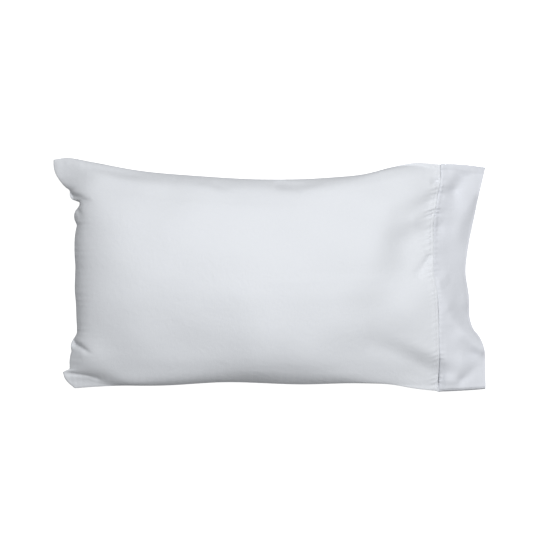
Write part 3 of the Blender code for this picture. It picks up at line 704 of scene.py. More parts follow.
def grid_faces(ids):
    """The quads of a grid of point numbers, turned so that they face the reader of the grid."""
    return np.stack([ids[:-1, :-1], ids[1:, :-1], ids[1:, 1:], ids[:-1, 1:]], axis=-1).reshape(-1, 4)


# %% A piece from points and faces
def make_piece(name, points, faces, cloth_places, material_name):
    """A smooth piece with its cloth coordinates and its material, which is still empty."""
    faces = [list(dict.fromkeys(int(corner) for corner in face)) for face in faces]
    data = bpy.data.meshes.new(name)
    data.from_pydata(points.tolist(), [], [face for face in faces if len(face) > 2])
    data.update()
    data.shade_smooth()
    corners = np.empty(len(data.loops), dtype=np.int32)
    data.loops.foreach_get("vertex_index", corners)
    layer = data.uv_layers.new(name="cloth")
    layer.uv.foreach_set("vector", cloth_places[corners].astype(np.float32).ravel())
    data.materials.append(bpy.data.materials.new(material_name))
    print(f"{name}: {len(data.vertices)} points, {len(data.polygons)} faces")
    return placed(name, data)


# %% [markdown]
# The body is closed at the cuff's end as well. Hidden by the cuff, a few rows run down from the front's
# edge to the back's.

# %% Build the body
HIDDEN_END_ROWS = 5
HIDDEN_END_INSET = 0.004


def build_body(front, back):
    """The case body as one closed mesh: a fine front, a back of every second column, and a hidden end."""
    rows, columns = front.shape[:2]
    front_ids = np.arange(rows * columns).reshape(rows, columns)
    coarse_back = back[1:, 2:-2:2]
    coarse = coarse_back.shape[1]
    back_ids = np.empty((rows, coarse + 2), dtype=int)
    back_ids[0] = front_ids[0, ::2]
    back_ids[:, 0], back_ids[:, -1] = front_ids[:, 0], front_ids[:, -1]
    first = rows * columns
    back_ids[1:, 1:-1] = first + np.arange(coarse * (rows - 1)).reshape(rows - 1, coarse)
    first += coarse * (rows - 1)

    # The hidden end goes down in even steps, and hollows a little into the body.
    levels = np.linspace(0, 1, HIDDEN_END_ROWS + 2)[1:-1]
    end = front[-1] + (back[-1] - front[-1]) * levels[:, None, None]
    end[..., 0] -= HIDDEN_END_INSET * (1 - across[None] ** 8)
    end_ids = first + np.arange(end[:, 1:-1].size // 3).reshape(HIDDEN_END_ROWS, columns - 2)
    far_ids, near_ids = (np.full((HIDDEN_END_ROWS, 1), front_ids[-1, side]) for side in (0, -1))
    end_ids = np.concatenate([far_ids, end_ids, near_ids], axis=1)
    end_ids = np.concatenate([front_ids[-1:], end_ids])

    faces = [*grid_faces(front_ids), *grid_faces(back_ids[1:])[:, ::-1], *grid_faces(end_ids)]
    # Where fine and coarse rows meet, a face takes in the fine row's middle point.
    for k in range(coarse + 1):
        near, far = back_ids[0, k], back_ids[0, k + 1]
        faces.append((near, front_ids[0, 2 * k + 1], far, back_ids[1, k + 1], back_ids[1, k]))
        near, far = back_ids[-1, k], back_ids[-1, k + 1]
        faces.append((near, far, end_ids[-1, 2 * k + 2], end_ids[-1, 2 * k + 1], end_ids[-1, 2 * k]))

    points = np.concatenate([front.reshape(-1, 3), coarse_back.reshape(-1, 3), end[:, 1:-1].reshape(-1, 3)])
    places = places_on_cloth(front)
    end_places = np.repeat(places[-1:, 1:-1], HIDDEN_END_ROWS, axis=0)
    places = [places, places_on_cloth(back)[1:, 2:-2:2], end_places]
    places = np.concatenate([place.reshape(-1, 2) for place in places])
    return make_piece("case_cloth", points, faces, places, "white_percale")


case_cloth = build_body(body_front, body_back)

# %% [markdown]
# ## The cuff
#
# The cuff is a band that is folded double along the mouth and sewn into a ring. Its height blends from the
# body's end to the lips of its mouth. As no pillow fills it, it falls in and takes large folds: a valley
# under the far corner, a broad ridge from the seam down to the near corner, and a tuck above the near side.

# %% The cuff's seams
FAR_LIP = (0.4570, 0.2275, 0.028)
NEAR_LIP = (0.4548, -0.2398, 0.040)
CUFF_FAR_SIDE = [FAR_SEAM_END, (0.4060, 0.2324, 0.044), FAR_LIP]
CUFF_NEAR_SIDE = [NEAR_SEAM_END, (0.4040, -0.2428, 0.046), NEAR_LIP]
MOUTH = [
    FAR_LIP, (0.445, 0.18, 0.028), (0.4345, 0.129, 0.029), (0.4248, 0.0845, 0.03), (0.416, 0.042, 0.03),
    (0.4128, 0.008, 0.03), (0.4195, -0.04, 0.03), (0.4232, -0.096, 0.031), (0.4285, -0.112, 0.032),
    (0.4422, -0.13, 0.032), (0.452, -0.156, 0.034), (0.4542, -0.202, 0.037), NEAR_LIP,
]
print(len(MOUTH), "points give the mouth")

# %% The cuff's folds
CUFF_FOLDS = table("depth half_width line", [
    # the valley under the far corner, and along the seam
    ((0.0017, 0.0119), (0.0212, 0.0153),
     [(0.4362, 0.2251), (0.4183, 0.2167), (0.4078, 0.204), (0.4006, 0.1935), (0.3909, 0.1819)]),
    ((0.0015, 0.0022), (0.0134, 0.009),
     [(0.3893, 0.1766), (0.3766, 0.1713), (0.3713, 0.1544), (0.3703, 0.1375), (0.365, 0.1186),
      (0.3587, 0.0975)]),
    # the light ridge beside it
    ((0.0031, 0.0117), (0.0247, 0.0265),
     [(0.4458, 0.203), (0.4215, 0.1798), (0.4025, 0.1523), (0.3892, 0.127), (0.3793, 0.1038)]),
    # the hollow at the mouth
    ((0.0153, 0.0164), (0.0171, 0.0256), [(0.4493, 0.1508), (0.4346, 0.115), (0.4282, 0.0833)]),
    # below the middle: a ridge from the seam towards the near corner, with a hollow over it
    ((-0.0034, 0.001), (0.0088, 0.0085), [(0.3553, -0.0146), (0.3648, -0.0504), (0.3753, -0.0758)]),
    ((-0.006, -0.0124), (0.0159, 0.0158),
     [(0.3735, -0.0764), (0.3853, -0.0954), (0.4022, -0.1122), (0.4191, -0.1228), (0.436, -0.1439),
      (0.4495, -0.1587)]),
    ((-0.0017, 0.0011), (0.012, 0.0125),
     [(0.3675, -0.0036), (0.3844, -0.0458), (0.4034, -0.0753), (0.4224, -0.0964)]),
    ((0.0009, 0.001), (0.0072, 0.0072), [(0.3785, -0.0043), (0.3764, -0.017)]),
    ((-0.0004, 0.0004), (0.0043, 0.004), [(0.3679, -0.0192), (0.3637, -0.0277)]),
    ((-0.0005, 0.0016), (0.0056, 0.006),
     [(0.3712, -0.0668), (0.3811, -0.0876), (0.3978, -0.1043), (0.4144, -0.1157), (0.431, -0.1354),
      (0.4422, -0.1479)]),
    # above the near side
    ((0.0025, 0.0064), (0.012, 0.0135), [(0.4163, -0.1663), (0.4501, -0.1673)]),
    ((-0.0025, -0.0082), (0.0125, 0.0277), [(0.3642, -0.1808), (0.381, -0.184), (0.4, -0.1893)]),
    ((0.0041, 0.0002), (0.0086, 0.0124),
     [(0.4061, -0.2195), (0.4196, -0.2094), (0.4314, -0.1978), (0.4474, -0.1851)]),
    ((0.0003, -0.0005), (0.003, 0.0033), [(0.4231, -0.1993), (0.4463, -0.1993)]),
])
print(len(CUFF_FOLDS), "folds on the cuff")

# %% Lumps of the cuff
# Where the doubled cloth bellies out or falls in, between its folds.
CUFF_LUMPS = table("x y height radius", [
    (0.391, 0.221, 0.0013, 0.018), (0.434, 0.204, 0.0012, 0.018), (0.385, 0.158, -0.0078, 0.02),
    (0.423, 0.158, -0.0007, 0.02), (0.381, 0.105, -0.0009, 0.02), (0.415, 0.099, -0.0025, 0.02),
    (0.377, 0.052, -0.0033, 0.022), (0.406, 0.048, -0.001, 0.022), (0.375, -0.001, 0.0026, 0.02),
    (0.404, -0.007, 0.003, 0.02), (0.375, -0.053, 0.0048, 0.018), (0.408, -0.06, 0.0044, 0.018),
    (0.372, -0.106, 0.0012, 0.02), (0.404, -0.133, 0.0053, 0.018), (0.44, -0.155, -0.0001, 0.016),
    (0.375, -0.155, 0.0011, 0.02), (0.41, -0.176, 0.0001, 0.018), (0.442, -0.193, -0.001, 0.016),
    (0.381, -0.222, 0.0067, 0.016), (0.423, -0.224, 0.0027, 0.016),
])
print(len(CUFF_LUMPS), "lumps of the cuff")

# %% [markdown]
# Close to the seam the cuff drops into the dark line under the body's fold and rises again over the layers
# that are turned into it. At the near side its edge is rolled under, as a steep strip about 6 mm wide.
# Four millimetres inside the mouth a slight dip shows where the folded cloth's inner layers end.

# %% Profile of the cuff
CREVICE_DEPTH = 0.0022
CREVICE_WIDTH = 0.0011
TURNED_IN_RISE = 0.0009
TURNED_IN_AT = 0.0045
TURNED_IN_WIDTH = 0.0028
MOUTH_DIP = 0.0004
MOUTH_DIP_AT = 0.0042
MOUTH_DIP_WIDTH = 0.0010
CUFF_PUCKERS_AT = 0.004
CUFF_PUCKERS_WIDTH = 0.006
FINE_PUCKERS_AT = (0.364, -0.106)  # a patch of finer puckers beside the seam
FINE_PUCKERS_REACH = (0.012, 0.010)
FINE_PUCKERS_PITCH = 0.0046
FINE_PUCKERS_HEIGHT = 0.0004
FINE_PUCKERS_LEAN = 0.15
PROFILE_MARGIN = 0.003  # all of these run out over this distance from the side seams


def cuff_profile(x, y, from_seam, from_mouth, from_sides):
    """The cuff's small shapes: crevice, turned-in layers, puckers and the dip inside the mouth."""
    crisp = along_seam(y, "crisp")
    height = -CREVICE_DEPTH * crisp * np.exp(-from_seam / CREVICE_WIDTH)
    height += TURNED_IN_RISE * crisp * bell(from_seam - TURNED_IN_AT, TURNED_IN_WIDTH)
    wave = uneven_wave(y, SEAM_PUCKER_PITCH, seed=4)
    height += along_seam(y, "pucker") * wave * bell(from_seam - CUFF_PUCKERS_AT, CUFF_PUCKERS_WIDTH)
    height -= MOUTH_DIP * bell(from_mouth - MOUTH_DIP_AT, MOUTH_DIP_WIDTH)
    fine = FINE_PUCKERS_HEIGHT * np.sin(2 * math.pi * (y + FINE_PUCKERS_LEAN * x) / FINE_PUCKERS_PITCH)
    for place, centre, reach in zip((x, y), FINE_PUCKERS_AT, FINE_PUCKERS_REACH):
        fine = fine * bell(place - centre, reach)
    height += fine
    return height * np.clip(from_sides / PROFILE_MARGIN, 0, 1)


# %% Surfaces of the cuff
SEAM_GAP = 0.0004
MOUTH_HALF_GAP = 0.0130
LIP_ROUND_POWER = 2.5
CUFF_WALL = 0.0015
LEAST_CAVITY = 0.0010
FOLDS_RUN_ON = 0.020  # how far the body's folds run on into the cuff
CUFF_SEAM_MARGIN = 0.10  # the folds rise from the seam over this share of the cuff's depth
CUFF_BULGE = 0.0030
NEAR_ROLL_WIDTH = 0.0060
NEAR_ROLL_HEIGHT = 0.0118
NEAR_ROLL_POWER = 0.8
NEAR_ROLL_FADE = 0.06
NEAR_ROLL_START = 0.15  # the roll grows from the seam over this share of the cuff's depth
CUFF_FOLD_MARGIN = 0.008  # the cuff's folds run out over this distance from its sides


def cuff_surfaces(along, across, body_edge):
    """The outside of the cuff's front and back.

    body_edge gives the heights of the body's last row, and how deep its folds are there. These folds run
    on into the cuff and fade.
    """
    sheet = middle_sheet(CUFF_FAR_SIDE, CUFF_NEAR_SIDE, CUFF_SEAM, MOUTH, along, across)
    sheet[..., 0] += SEAM_GAP
    u = along[:, None]
    from_far, from_near, from_seam, from_mouth = seam_distances(sheet, along, across)
    from_sides = np.minimum(from_far, from_near)
    edge = EDGE_THICKNESS / 2 * (1 - np.exp(-from_sides / SEAM_TURN))
    seam_front, seam_back, seam_folds = (
        np.interp(-across, -body_edge["across"], body_edge[name]) for name in ("front", "back", "folds")
    )
    seam_front = seam_front + seam_folds
    seam_half = (seam_front - seam_back) / 2
    seam_middle = (seam_front + seam_back) / 2
    lip_half = edge + MOUTH_HALF_GAP * (1 - np.abs(across) ** LIP_ROUND_POWER)
    half = (1 - u) * seam_half + u * lip_half
    middle = sheet[..., 2] + (1 - u) * (seam_middle - sheet[0, :, 2])
    x, y = sheet[..., 0], sheet[..., 1]
    inside = np.clip(from_sides / CUFF_FOLD_MARGIN, 0, 1) * np.clip(u / CUFF_SEAM_MARGIN, 0, 1)
    folds = (lowered_by(CUFF_FOLDS, x, y) - lifted_by(CUFF_LUMPS, x, y)) * inside
    folds += seam_folds * bell(from_seam, FOLDS_RUN_ON)
    roll = NEAR_ROLL_HEIGHT * np.clip(from_near / NEAR_ROLL_WIDTH, 0, 1) ** NEAR_ROLL_POWER
    roll = roll * np.exp(-from_near / NEAR_ROLL_FADE) * np.clip(u / NEAR_ROLL_START, 0, 1)
    front, back = sheet.copy(), sheet.copy()
    back[..., 2] = middle - half
    front[..., 2] = np.maximum(middle + half + roll - folds, middle - half + 2 * CUFF_WALL + LEAST_CAVITY)
    edge_columns = [0, -1]
    front[:, edge_columns, 2] = back[:, edge_columns, 2] = middle[:, edge_columns]
    small = cuff_profile(x, y, from_seam, from_mouth, from_sides)
    ripples = seam_puckers(x, from_far, seed=6) + seam_puckers(x, from_near, seed=7)
    for surface, side in ((front, 1), (back, -1)):
        surface[..., 1] += out_past_seam(from_far, CUFF_BULGE) - out_past_seam(from_near, CUFF_BULGE)
        surface += outward_normals(surface) * (side * (small + ripples))[..., None]
    return front, back


# %% [markdown]
# A tube that is folded double at its mouth is, as a surface, a ring like a tyre: outside, round the lip,
# back along the inside, and closed at the seam. So its points fit one grid that wraps round both ways.

# %% The wall and the ring
def upright_wall(surface):
    """How thick the wall is when measured upright, so that it is CUFF_WALL thick square to the cloth."""
    slope_x = np.gradient(surface[..., 2], axis=0) / np.gradient(surface[..., 0], axis=0)
    slope_y = np.gradient(surface[..., 2], axis=1) / np.gradient(surface[..., 1], axis=1)
    return CUFF_WALL * np.minimum(np.sqrt(1 + slope_x**2 + slope_y**2), 2)


def ring(front, back):
    """Rows of a front and a back as rows of one closed ring that share both side seams."""
    return np.concatenate([front, back[:, -2:0:-1]], axis=1)


# %% Build the cuff
LIP_STEPS = 5
INNER_INSET = 0.0026  # how far the cavity's sides lie inside the side seams


def build_cuff(body_edge):
    """The cuff as one closed ring-shaped mesh."""
    front, back = cuff_surfaces(along_cuff, across, body_edge)
    for side in (0, -1):
        front[:, side] = back[:, side] = (front[:, side] + back[:, side]) / 2
    inner_across = across * (1 - 2 * INNER_INSET / CLOTH_WIDTH)
    ceiling, floor = cuff_surfaces(along_cuff, inner_across, body_edge)
    ceiling[..., 2] -= upright_wall(ceiling)
    floor[..., 2] += upright_wall(floor)
    middle = (ceiling[..., 2] + floor[..., 2]) / 2
    ceiling[..., 2] = np.maximum(ceiling[..., 2], middle + LEAST_CAVITY / 2)
    floor[..., 2] = np.minimum(floor[..., 2], middle - LEAST_CAVITY / 2)
    for side in (0, -1):
        ceiling[:, side] = floor[:, side] = (ceiling[:, side] + floor[:, side]) / 2
    outer, inner = ring(front, back), ring(ceiling, floor)
    # The lip turns from the outside to the inside in a half circle.
    turn = np.linspace(0, math.pi, LIP_STEPS + 2)[1:-1, None, None]
    lip = (outer[-1] + inner[-1]) / 2 + (outer[-1] - inner[-1]) / 2 * np.cos(turn)
    lip[..., 0] += CUFF_WALL / 2 * np.sin(turn[..., 0])
    points = np.concatenate([outer, lip, inner[::-1]])
    rows, columns = points.shape[:2]
    ids = np.arange(rows * columns).reshape(rows, columns)
    ids = np.concatenate([ids, ids[:1]])
    ids = np.concatenate([ids, ids[:, :1]], axis=1)
    # Places on the cloth run along the rows, and out from the far seam on both faces alike.
    rows_place = running_total(np.linalg.norm(np.diff(points, axis=0), axis=-1).mean(axis=1))
    front_place = places_on_cloth(front)[0, :, 1]
    round_place = np.concatenate([front_place, front_place[-2:0:-1]])
    places = np.stack(np.meshgrid(rows_place, round_place, indexing="ij"), axis=-1).reshape(-1, 2)
    return make_piece("cuff_cloth", points.reshape(-1, 3), grid_faces(ids), places, "doubled_percale")


body_edge = {
    "across": across,
    "front": body_front[-1, :, 2],
    "back": body_back[-1, :, 2],
    "folds": lowered_by(BODY_FOLDS, body_front[-1:, :, 0], body_front[-1:, :, 1])[0],
}
cuff_cloth = build_cuff(body_edge)

# %% [markdown]
# ## Topstitching
#
# Sewing thread is about 0.3 mm thick, and each stitch dips into the cloth at both of its ends. So each
# stitch is a small spindle, half sunk in the cloth, on a line at a fixed distance from the seam. All of
# them are joined in one mesh, because hundreds of separate objects would be slow to handle.

# %% Lines on the cloth
def interpolated(at, places, points):
    """Places on the straight lines between the given points."""
    return np.stack([np.interp(at, places, values) for values in np.transpose(points)], axis=1)


def line_at(surface, values, from_last_row):
    """Values of a surface on a line at a distance from its last row, measured along the cloth."""
    reached = running_total(np.linalg.norm(np.diff(surface[::-1], axis=0), axis=-1))
    columns = range(surface.shape[1])
    return np.concatenate([interpolated([from_last_row], reached[:, k], values[::-1, k]) for k in columns])


def evenly_spaced(line, normals, pitch):
    """Centres, directions and normals at even steps along a line."""
    reached = running_total(np.linalg.norm(np.diff(line, axis=0), axis=1))
    at = np.arange(pitch, reached[-1] - pitch, pitch)
    before, centre, after = (interpolated(at + shift, reached, line) for shift in (-pitch / 4, 0, pitch / 4))
    direction = (after - before) / np.linalg.norm(after - before, axis=1, keepdims=True)
    return centre, direction, interpolated(at, reached, normals)


# %% Stitches
STITCH_PITCH = 0.0032
STITCH_LENGTH = 0.0025
THREAD_RADIUS = 0.00034
STITCH_SIDES = 6
STITCH_RINGS = (-1.0, -0.8, -0.35, 0.35, 0.8, 1.0)
STITCH_FULLNESS = (0.25, 0.75, 1.0, 1.0, 0.75, 0.25)


def stitches_on(surface, side):
    """The stitches of both rows on one face of the body, as points for each stitch."""
    normals = outward_normals(surface) * side
    stitches = []
    for row in STITCH_ROWS:
        line, line_normals = line_at(surface, surface, row), line_at(surface, normals, row)
        centre, direction, normal = evenly_spaced(line, line_normals, STITCH_PITCH)
        beside = np.cross(normal, direction)
        points = []
        for ring_at, full in zip(STITCH_RINGS, STITCH_FULLNESS):
            for turn in np.linspace(0, 2 * math.pi, STITCH_SIDES, endpoint=False):
                out = (beside * math.cos(turn) + normal * math.sin(turn)) * (THREAD_RADIUS * full)
                points.append(centre + direction * (ring_at * STITCH_LENGTH / 2) + out)
        stitches.append(np.stack(points, axis=1))
    return np.concatenate(stitches)


def build_stitching():
    """All the stitches of the cuff's seam in one mesh."""
    stitches = np.concatenate([stitches_on(body_front, 1), stitches_on(body_back, -1)])
    count, per_stitch = stitches.shape[:2]
    ring_ids = np.arange(per_stitch).reshape(len(STITCH_RINGS), STITCH_SIDES)
    ring_ids = np.concatenate([ring_ids, ring_ids[:, :1]], axis=1)
    pattern = [list(face) for face in grid_faces(ring_ids)]
    pattern += [list(range(STITCH_SIDES))[::-1], list(range(per_stitch - STITCH_SIDES, per_stitch))]
    faces = [[corner + k * per_stitch for corner in face] for k in range(count) for face in pattern]
    points = stitches.reshape(-1, 3)
    places = np.tile(np.linspace(0, STITCH_LENGTH, per_stitch), count)
    places = np.stack([places, np.zeros_like(places)], axis=1)
    return make_piece("cuff_stitching", points, faces, places, "sewing_thread")


cuff_stitching = build_stitching()

# %% [markdown]
# ## The pillow's end
#
# Through the open mouth one sees the end of the pillow, which swells a little into the cuff, with its own
# seam across its middle. Only this end is made, because the rest never shows.

# %% Build the pillow's end
END_SWELL = 0.013
END_ROWS = 21
END_CLEARANCE = 0.0016
END_LEAST_HALF = 0.0004
END_SEAM_DIP = 0.0016
END_SEAM_WIDTH = 0.0012
END_SET_BACK = 0.001
END_THICKNESS = 0.003  # of its thin rim
END_WRINKLES = 0.0010
END_WRINKLE_PITCH = 0.021
END_WIDTH = 0.48
END_SPAN = 0.97  # the share of the case's width that it fills
END_COLUMNS = 121


def build_pillow_end():
    """A lens-shaped piece: a swelling towards the mouth, and a flat back inside the case."""
    share = np.linspace(END_SPAN, -END_SPAN, END_COLUMNS)
    edges = [interpolated(-share, -across, surface[-1]) for surface in (body_front, body_back)]
    middle = (edges[0] + edges[1]) / 2
    half = np.maximum((edges[0] - edges[1])[:, 2] / 2 - CUFF_WALL - END_CLEARANCE, END_LEAST_HALF)
    level = np.sin(np.linspace(math.pi / 2, -math.pi / 2, END_ROWS))[:, None]
    bulge = np.sqrt(np.maximum(1 - level**2, 0)) * (1 - share**4) * half / half.max()
    swelling = np.repeat(middle[None], END_ROWS, axis=0)
    swelling[..., 2] += half * level
    swelling[..., 0] += END_SWELL * bulge - END_SEAM_DIP * bell(level * half, END_SEAM_WIDTH) - END_SET_BACK
    wrinkles = uneven_wave(share * END_WIDTH / 2, END_WRINKLE_PITCH, seed=9)
    swelling[..., 0] += END_WRINKLES * wrinkles * bulge
    flat = swelling.copy()
    flat[..., 0] = np.minimum(swelling[..., 0], middle[None, :, 0]) - END_THICKNESS
    points = np.concatenate([swelling, flat[::-1]])
    ids = np.arange(points.size // 3).reshape(points.shape[:2])
    ids = np.concatenate([ids, ids[:1]])
    sides = [ids[:-1, 0].tolist(), ids[:-1, -1].tolist()[::-1]]
    places = places_on_cloth(points).reshape(-1, 2)
    faces = [*grid_faces(ids), *sides]
    return make_piece("pillow_end", points.reshape(-1, 3), faces, places, "pillow_ticking")


pillow_end = build_pillow_end()

# %% [markdown]
# ## Shader effects that several materials share
#
# Each effect is a node group with named inputs and outputs, built once and placed in each material with
# its own number. It gives out heights and masks only. The shader stays in the material, because an
# exporter has to find it there.

# %% New groups and links
def node_group(name, number, default, outputs):
    """A shader node group that takes a place and a number: the group, both inputs and its output node."""
    group = bpy.data.node_groups.new(name, "ShaderNodeTree")
    new_socket = group.interface.new_socket
    new_socket(name="Place", in_out="INPUT", socket_type="NodeSocketVector")
    new_socket(name=number, in_out="INPUT", socket_type="NodeSocketFloat").default_value = default
    for socket in outputs:
        new_socket(name=socket, in_out="OUTPUT", socket_type="NodeSocketFloat")
    given = group.nodes.new("NodeGroupInput").outputs
    return group, given["Place"], given[number], group.nodes.new("NodeGroupOutput")


def join(tree, value, socket):
    """Links a socket, or writes a plain number, into a socket."""
    if isinstance(value, bpy.types.NodeSocket):
        tree.links.new(value, socket)
    else:
        socket.default_value = value


# %% Small node helpers
def maths(tree, operation, *values):
    """One Math node, and its result."""
    node = tree.nodes.new("ShaderNodeMath")
    node.operation = operation
    for value, socket in zip(values, node.inputs):
        join(tree, value, socket)
    return node.outputs[0]


def noise(tree, vector, scale, detail=2.0, roughness=0.5):
    """One Noise Texture node, and its result, from 0 to 1."""
    node = tree.nodes.new("ShaderNodeTexNoise")
    node.inputs["Detail"].default_value = detail
    node.inputs["Roughness"].default_value = roughness
    tree.links.new(vector, node.inputs["Vector"])
    join(tree, scale, node.inputs["Scale"])
    return node.outputs["Fac"]


def stretched(tree, vector, factors):
    """A vector whose parts are multiplied by three factors."""
    node = tree.nodes.new("ShaderNodeVectorMath")
    node.operation = "MULTIPLY"
    tree.links.new(vector, node.inputs[0])
    node.inputs[1].default_value = factors
    return node.outputs["Vector"]


def mixed(tree, factor, first, second):
    """A Mix node between two plain colours, and its result."""
    node = tree.nodes.new("ShaderNodeMix")
    node.data_type = "RGBA"
    node.inputs["A"].default_value = (*first, 1)
    node.inputs["B"].default_value = (*second, 1)
    tree.links.new(factor, node.inputs["Factor"])
    return node.outputs["Result"]


# %% [markdown]
# ### The weave
#
# In a plain weave each thread goes over one crossing thread and under the next. Seen from close by, that
# is a chequerboard of little mounds, with the warp on top of one colour of square and the weft on top of
# the other. Every mound is a half sine across its thread, and the square's parity says which one shows.

# %% Plain weave group
def plain_weave_group():
    """Little mounds where threads cross, and the gaps between them."""
    group, place, count, result = node_group("plain weave", "Threads per metre", 2200.0, ["Height", "Gaps"])
    split = group.nodes.new("ShaderNodeSeparateXYZ")
    group.links.new(place, split.inputs[0])
    warp, weft = (maths(group, "MULTIPLY", split.outputs[axis], count) for axis in "XY")
    sums = maths(group, "ADD", maths(group, "FLOOR", warp), maths(group, "FLOOR", weft))
    parity = maths(group, "MULTIPLY", maths(group, "FRACT", maths(group, "MULTIPLY", sums, 0.5)), 2.0)
    warp_round, weft_round = (
        maths(group, "ABSOLUTE", maths(group, "SINE", maths(group, "MULTIPLY", threads, math.pi)))
        for threads in (warp, weft)
    )
    over = maths(group, "MULTIPLY", warp_round, maths(group, "POWER", weft_round, 0.5))
    under = maths(group, "MULTIPLY", weft_round, maths(group, "POWER", warp_round, 0.5))
    first = maths(group, "MULTIPLY", over, parity)
    second = maths(group, "MULTIPLY", under, maths(group, "SUBTRACT", 1.0, parity))
    height = maths(group, "ADD", first, second)
    group.links.new(height, result.inputs["Height"])
    group.links.new(maths(group, "SUBTRACT", 1.0, height), result.inputs["Gaps"])
    return group


# %% [markdown]
# ### Uneven yarn and soft creases
#
# Cotton yarn is spun a little thicker in some places, which shows as short faint streaks along both
# directions of the weave. Washed cotton also keeps a fine crumple between its folds. Its creases are
# narrow and point in all directions, which a noise gives when the distance from its middle value is used.

# %% Yarn and crumple groups
STREAK_STRETCH = 0.05  # a streak is twenty times as long as it is wide


def uneven_yarn_group():
    """Faint streaks along both directions of the weave."""
    group, place, count, result = node_group("uneven yarn", "Streaks per metre", 900.0, ["Streaks"])
    lengthwise, crosswise = (
        noise(group, stretched(group, place, factors), count)
        for factors in ((STREAK_STRETCH, 1, 1), (1, STREAK_STRETCH, 1))
    )
    streaks = maths(group, "MULTIPLY", maths(group, "ADD", lengthwise, crosswise), 0.5)
    group.links.new(streaks, result.inputs["Streaks"])
    return group


def soft_crumple_group():
    """Narrow creases in all directions, with soft ground between them."""
    group, place, count, result = node_group("soft crumple", "Creases per metre", 30.0, ["Height"])
    grain = noise(group, place, count, detail=3.0, roughness=0.55)
    from_middle = maths(group, "ABSOLUTE", maths(group, "SUBTRACT", grain, 0.5))
    height = maths(group, "SMOOTH_MIN", maths(group, "MULTIPLY", from_middle, 4.0), 1.0, 0.3)
    group.links.new(height, result.inputs["Height"])
    return group


# %% The shared effects
EFFECTS = {
    "weave": plain_weave_group(),
    "yarn": uneven_yarn_group(),
    "crumple": soft_crumple_group(),
}
print("Shared effects:", ", ".join(EFFECTS))


def effect(tree, name, place, number):
    """A placed effect, with its place linked and its number set, and its results."""
    node = tree.nodes.new("ShaderNodeGroup")
    node.node_tree = EFFECTS[name]
    tree.links.new(place, node.inputs["Place"])
    node.inputs[1].default_value = number
    return node.outputs


def raised(tree, height, distance, strength, below=None):
    """A Bump node over another one: distance is the real height of the relief in metres."""
    node = tree.nodes.new("ShaderNodeBump")
    node.inputs["Distance"].default_value = distance
    node.inputs["Strength"].default_value = strength
    tree.links.new(height, node.inputs["Height"])
    if below is not None:
        tree.links.new(below, node.inputs["Normal"])
    return node.outputs["Normal"]


# %% [markdown]
# ## The cottons
#
# All of the cloth is bleached cotton: a cool, slightly bluish white, because laundered white cotton carries
# a brightener. It is matt, with a faint sheen from the fibres that stand up. The sheen is one number for the
# whole cloth, so it is set on the shader's own socket. The colour varies a little. It is darker along the
# yarn's streaks, and darker in the gaps between threads, which is painted shade.

# %% Cotton materials
# The tint's change in the gaps between threads is painted shade.
YARN_SHARE = 0.5  # of the tint's change, the rest follows the gaps
STREAKS_PER_THREAD = 0.4
CREASES_PER_METRE = 34.0
YARN_RELIEF = 0.00012  # metres
WEAVE_RELIEF = 0.00008
LEAST_ROUGHNESS = 0.78
ROUGHER_YARN = 0.12  # how much rougher a streak is at most


def cotton(name, light, dark, threads, sheen, crumple_height):
    """A woven cotton, from its two colours, its thread count, its sheen and how crumpled it is."""
    material = bpy.data.materials[name]
    material.use_nodes = True
    tree = material.node_tree
    shader = tree.nodes["Principled BSDF"].inputs
    cloth = tree.nodes.new("ShaderNodeUVMap")
    cloth.uv_map = "cloth"
    place = cloth.outputs["UV"]
    weave = effect(tree, "weave", place, threads)
    streaks = effect(tree, "yarn", place, threads * STREAKS_PER_THREAD)["Streaks"]
    crumple = effect(tree, "crumple", place, CREASES_PER_METRE)
    # Colour: painted shade in the gaps between threads, and the yarn's real streaks, pull it towards the
    # darker tint.
    painted_gap_shade = maths(tree, "MULTIPLY", weave["Gaps"], 1 - YARN_SHARE)
    from_yarn = maths(tree, "MULTIPLY", streaks, YARN_SHARE)
    tint = mixed(tree, maths(tree, "ADD", painted_gap_shade, from_yarn), light, dark)
    tree.links.new(tint, shader["Base Color"])
    # Relief: crumple first, then yarn, then weave on top.
    normal = raised(tree, crumple["Height"], crumple_height, 0.6)
    normal = raised(tree, streaks, YARN_RELIEF, 0.5, normal)
    normal = raised(tree, weave["Height"], WEAVE_RELIEF, 0.5, normal)
    tree.links.new(normal, shader["Normal"])
    roughness = maths(tree, "MULTIPLY_ADD", streaks, ROUGHER_YARN, LEAST_ROUGHNESS)
    tree.links.new(roughness, shader["Roughness"])
    shader["Specular IOR Level"].default_value = 0.25
    shader["Sheen Weight"].default_value = sheen
    shader["Sheen Roughness"].default_value = 0.45


# %% The four cottons
# Threads are counted per metre, and the crumple's height is in metres.
COTTONS = table("name light dark threads sheen crumple_height", [
    ("white_percale", (0.795, 0.815, 0.845), (0.714, 0.735, 0.775), 2200, 0.12, 0.0005),
    # The cuff's cotton is set a little darker than the body's.
    ("doubled_percale", (0.765, 0.785, 0.83), (0.69, 0.71, 0.76), 2200, 0.12, 0.0004),
    ("sewing_thread", (0.84, 0.85, 0.88), (0.74, 0.75, 0.80), 5200, 0.30, 0.00005),
    ("pillow_ticking", (0.80, 0.80, 0.80), (0.70, 0.70, 0.71), 1500, 0.10, 0.0008),
])
for facts in COTTONS:
    cotton(**facts)
print("Materials:", ", ".join(sorted(material.name for material in bpy.data.materials)))

# %% [markdown]
# ## What each piece stands for
#
# The case cloth takes the place of the plain body, and the cuff's cloth that of the plain cuff: the plain
# pieces are hidden, and all four new pieces hang on the root body. The cuff goes once round the case, 2 x
# 508 mm, and is 102 mm deep when it is folded double.

for piece, slot in (
    (case_cloth, "body_cotton"),
    (cuff_cloth, "cuff_cotton"),
    (cuff_stitching, "cuff_cotton"),
    (pillow_end, "body_cotton"),
):
    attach(piece, "root")
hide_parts("case_body")
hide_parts("cuff")

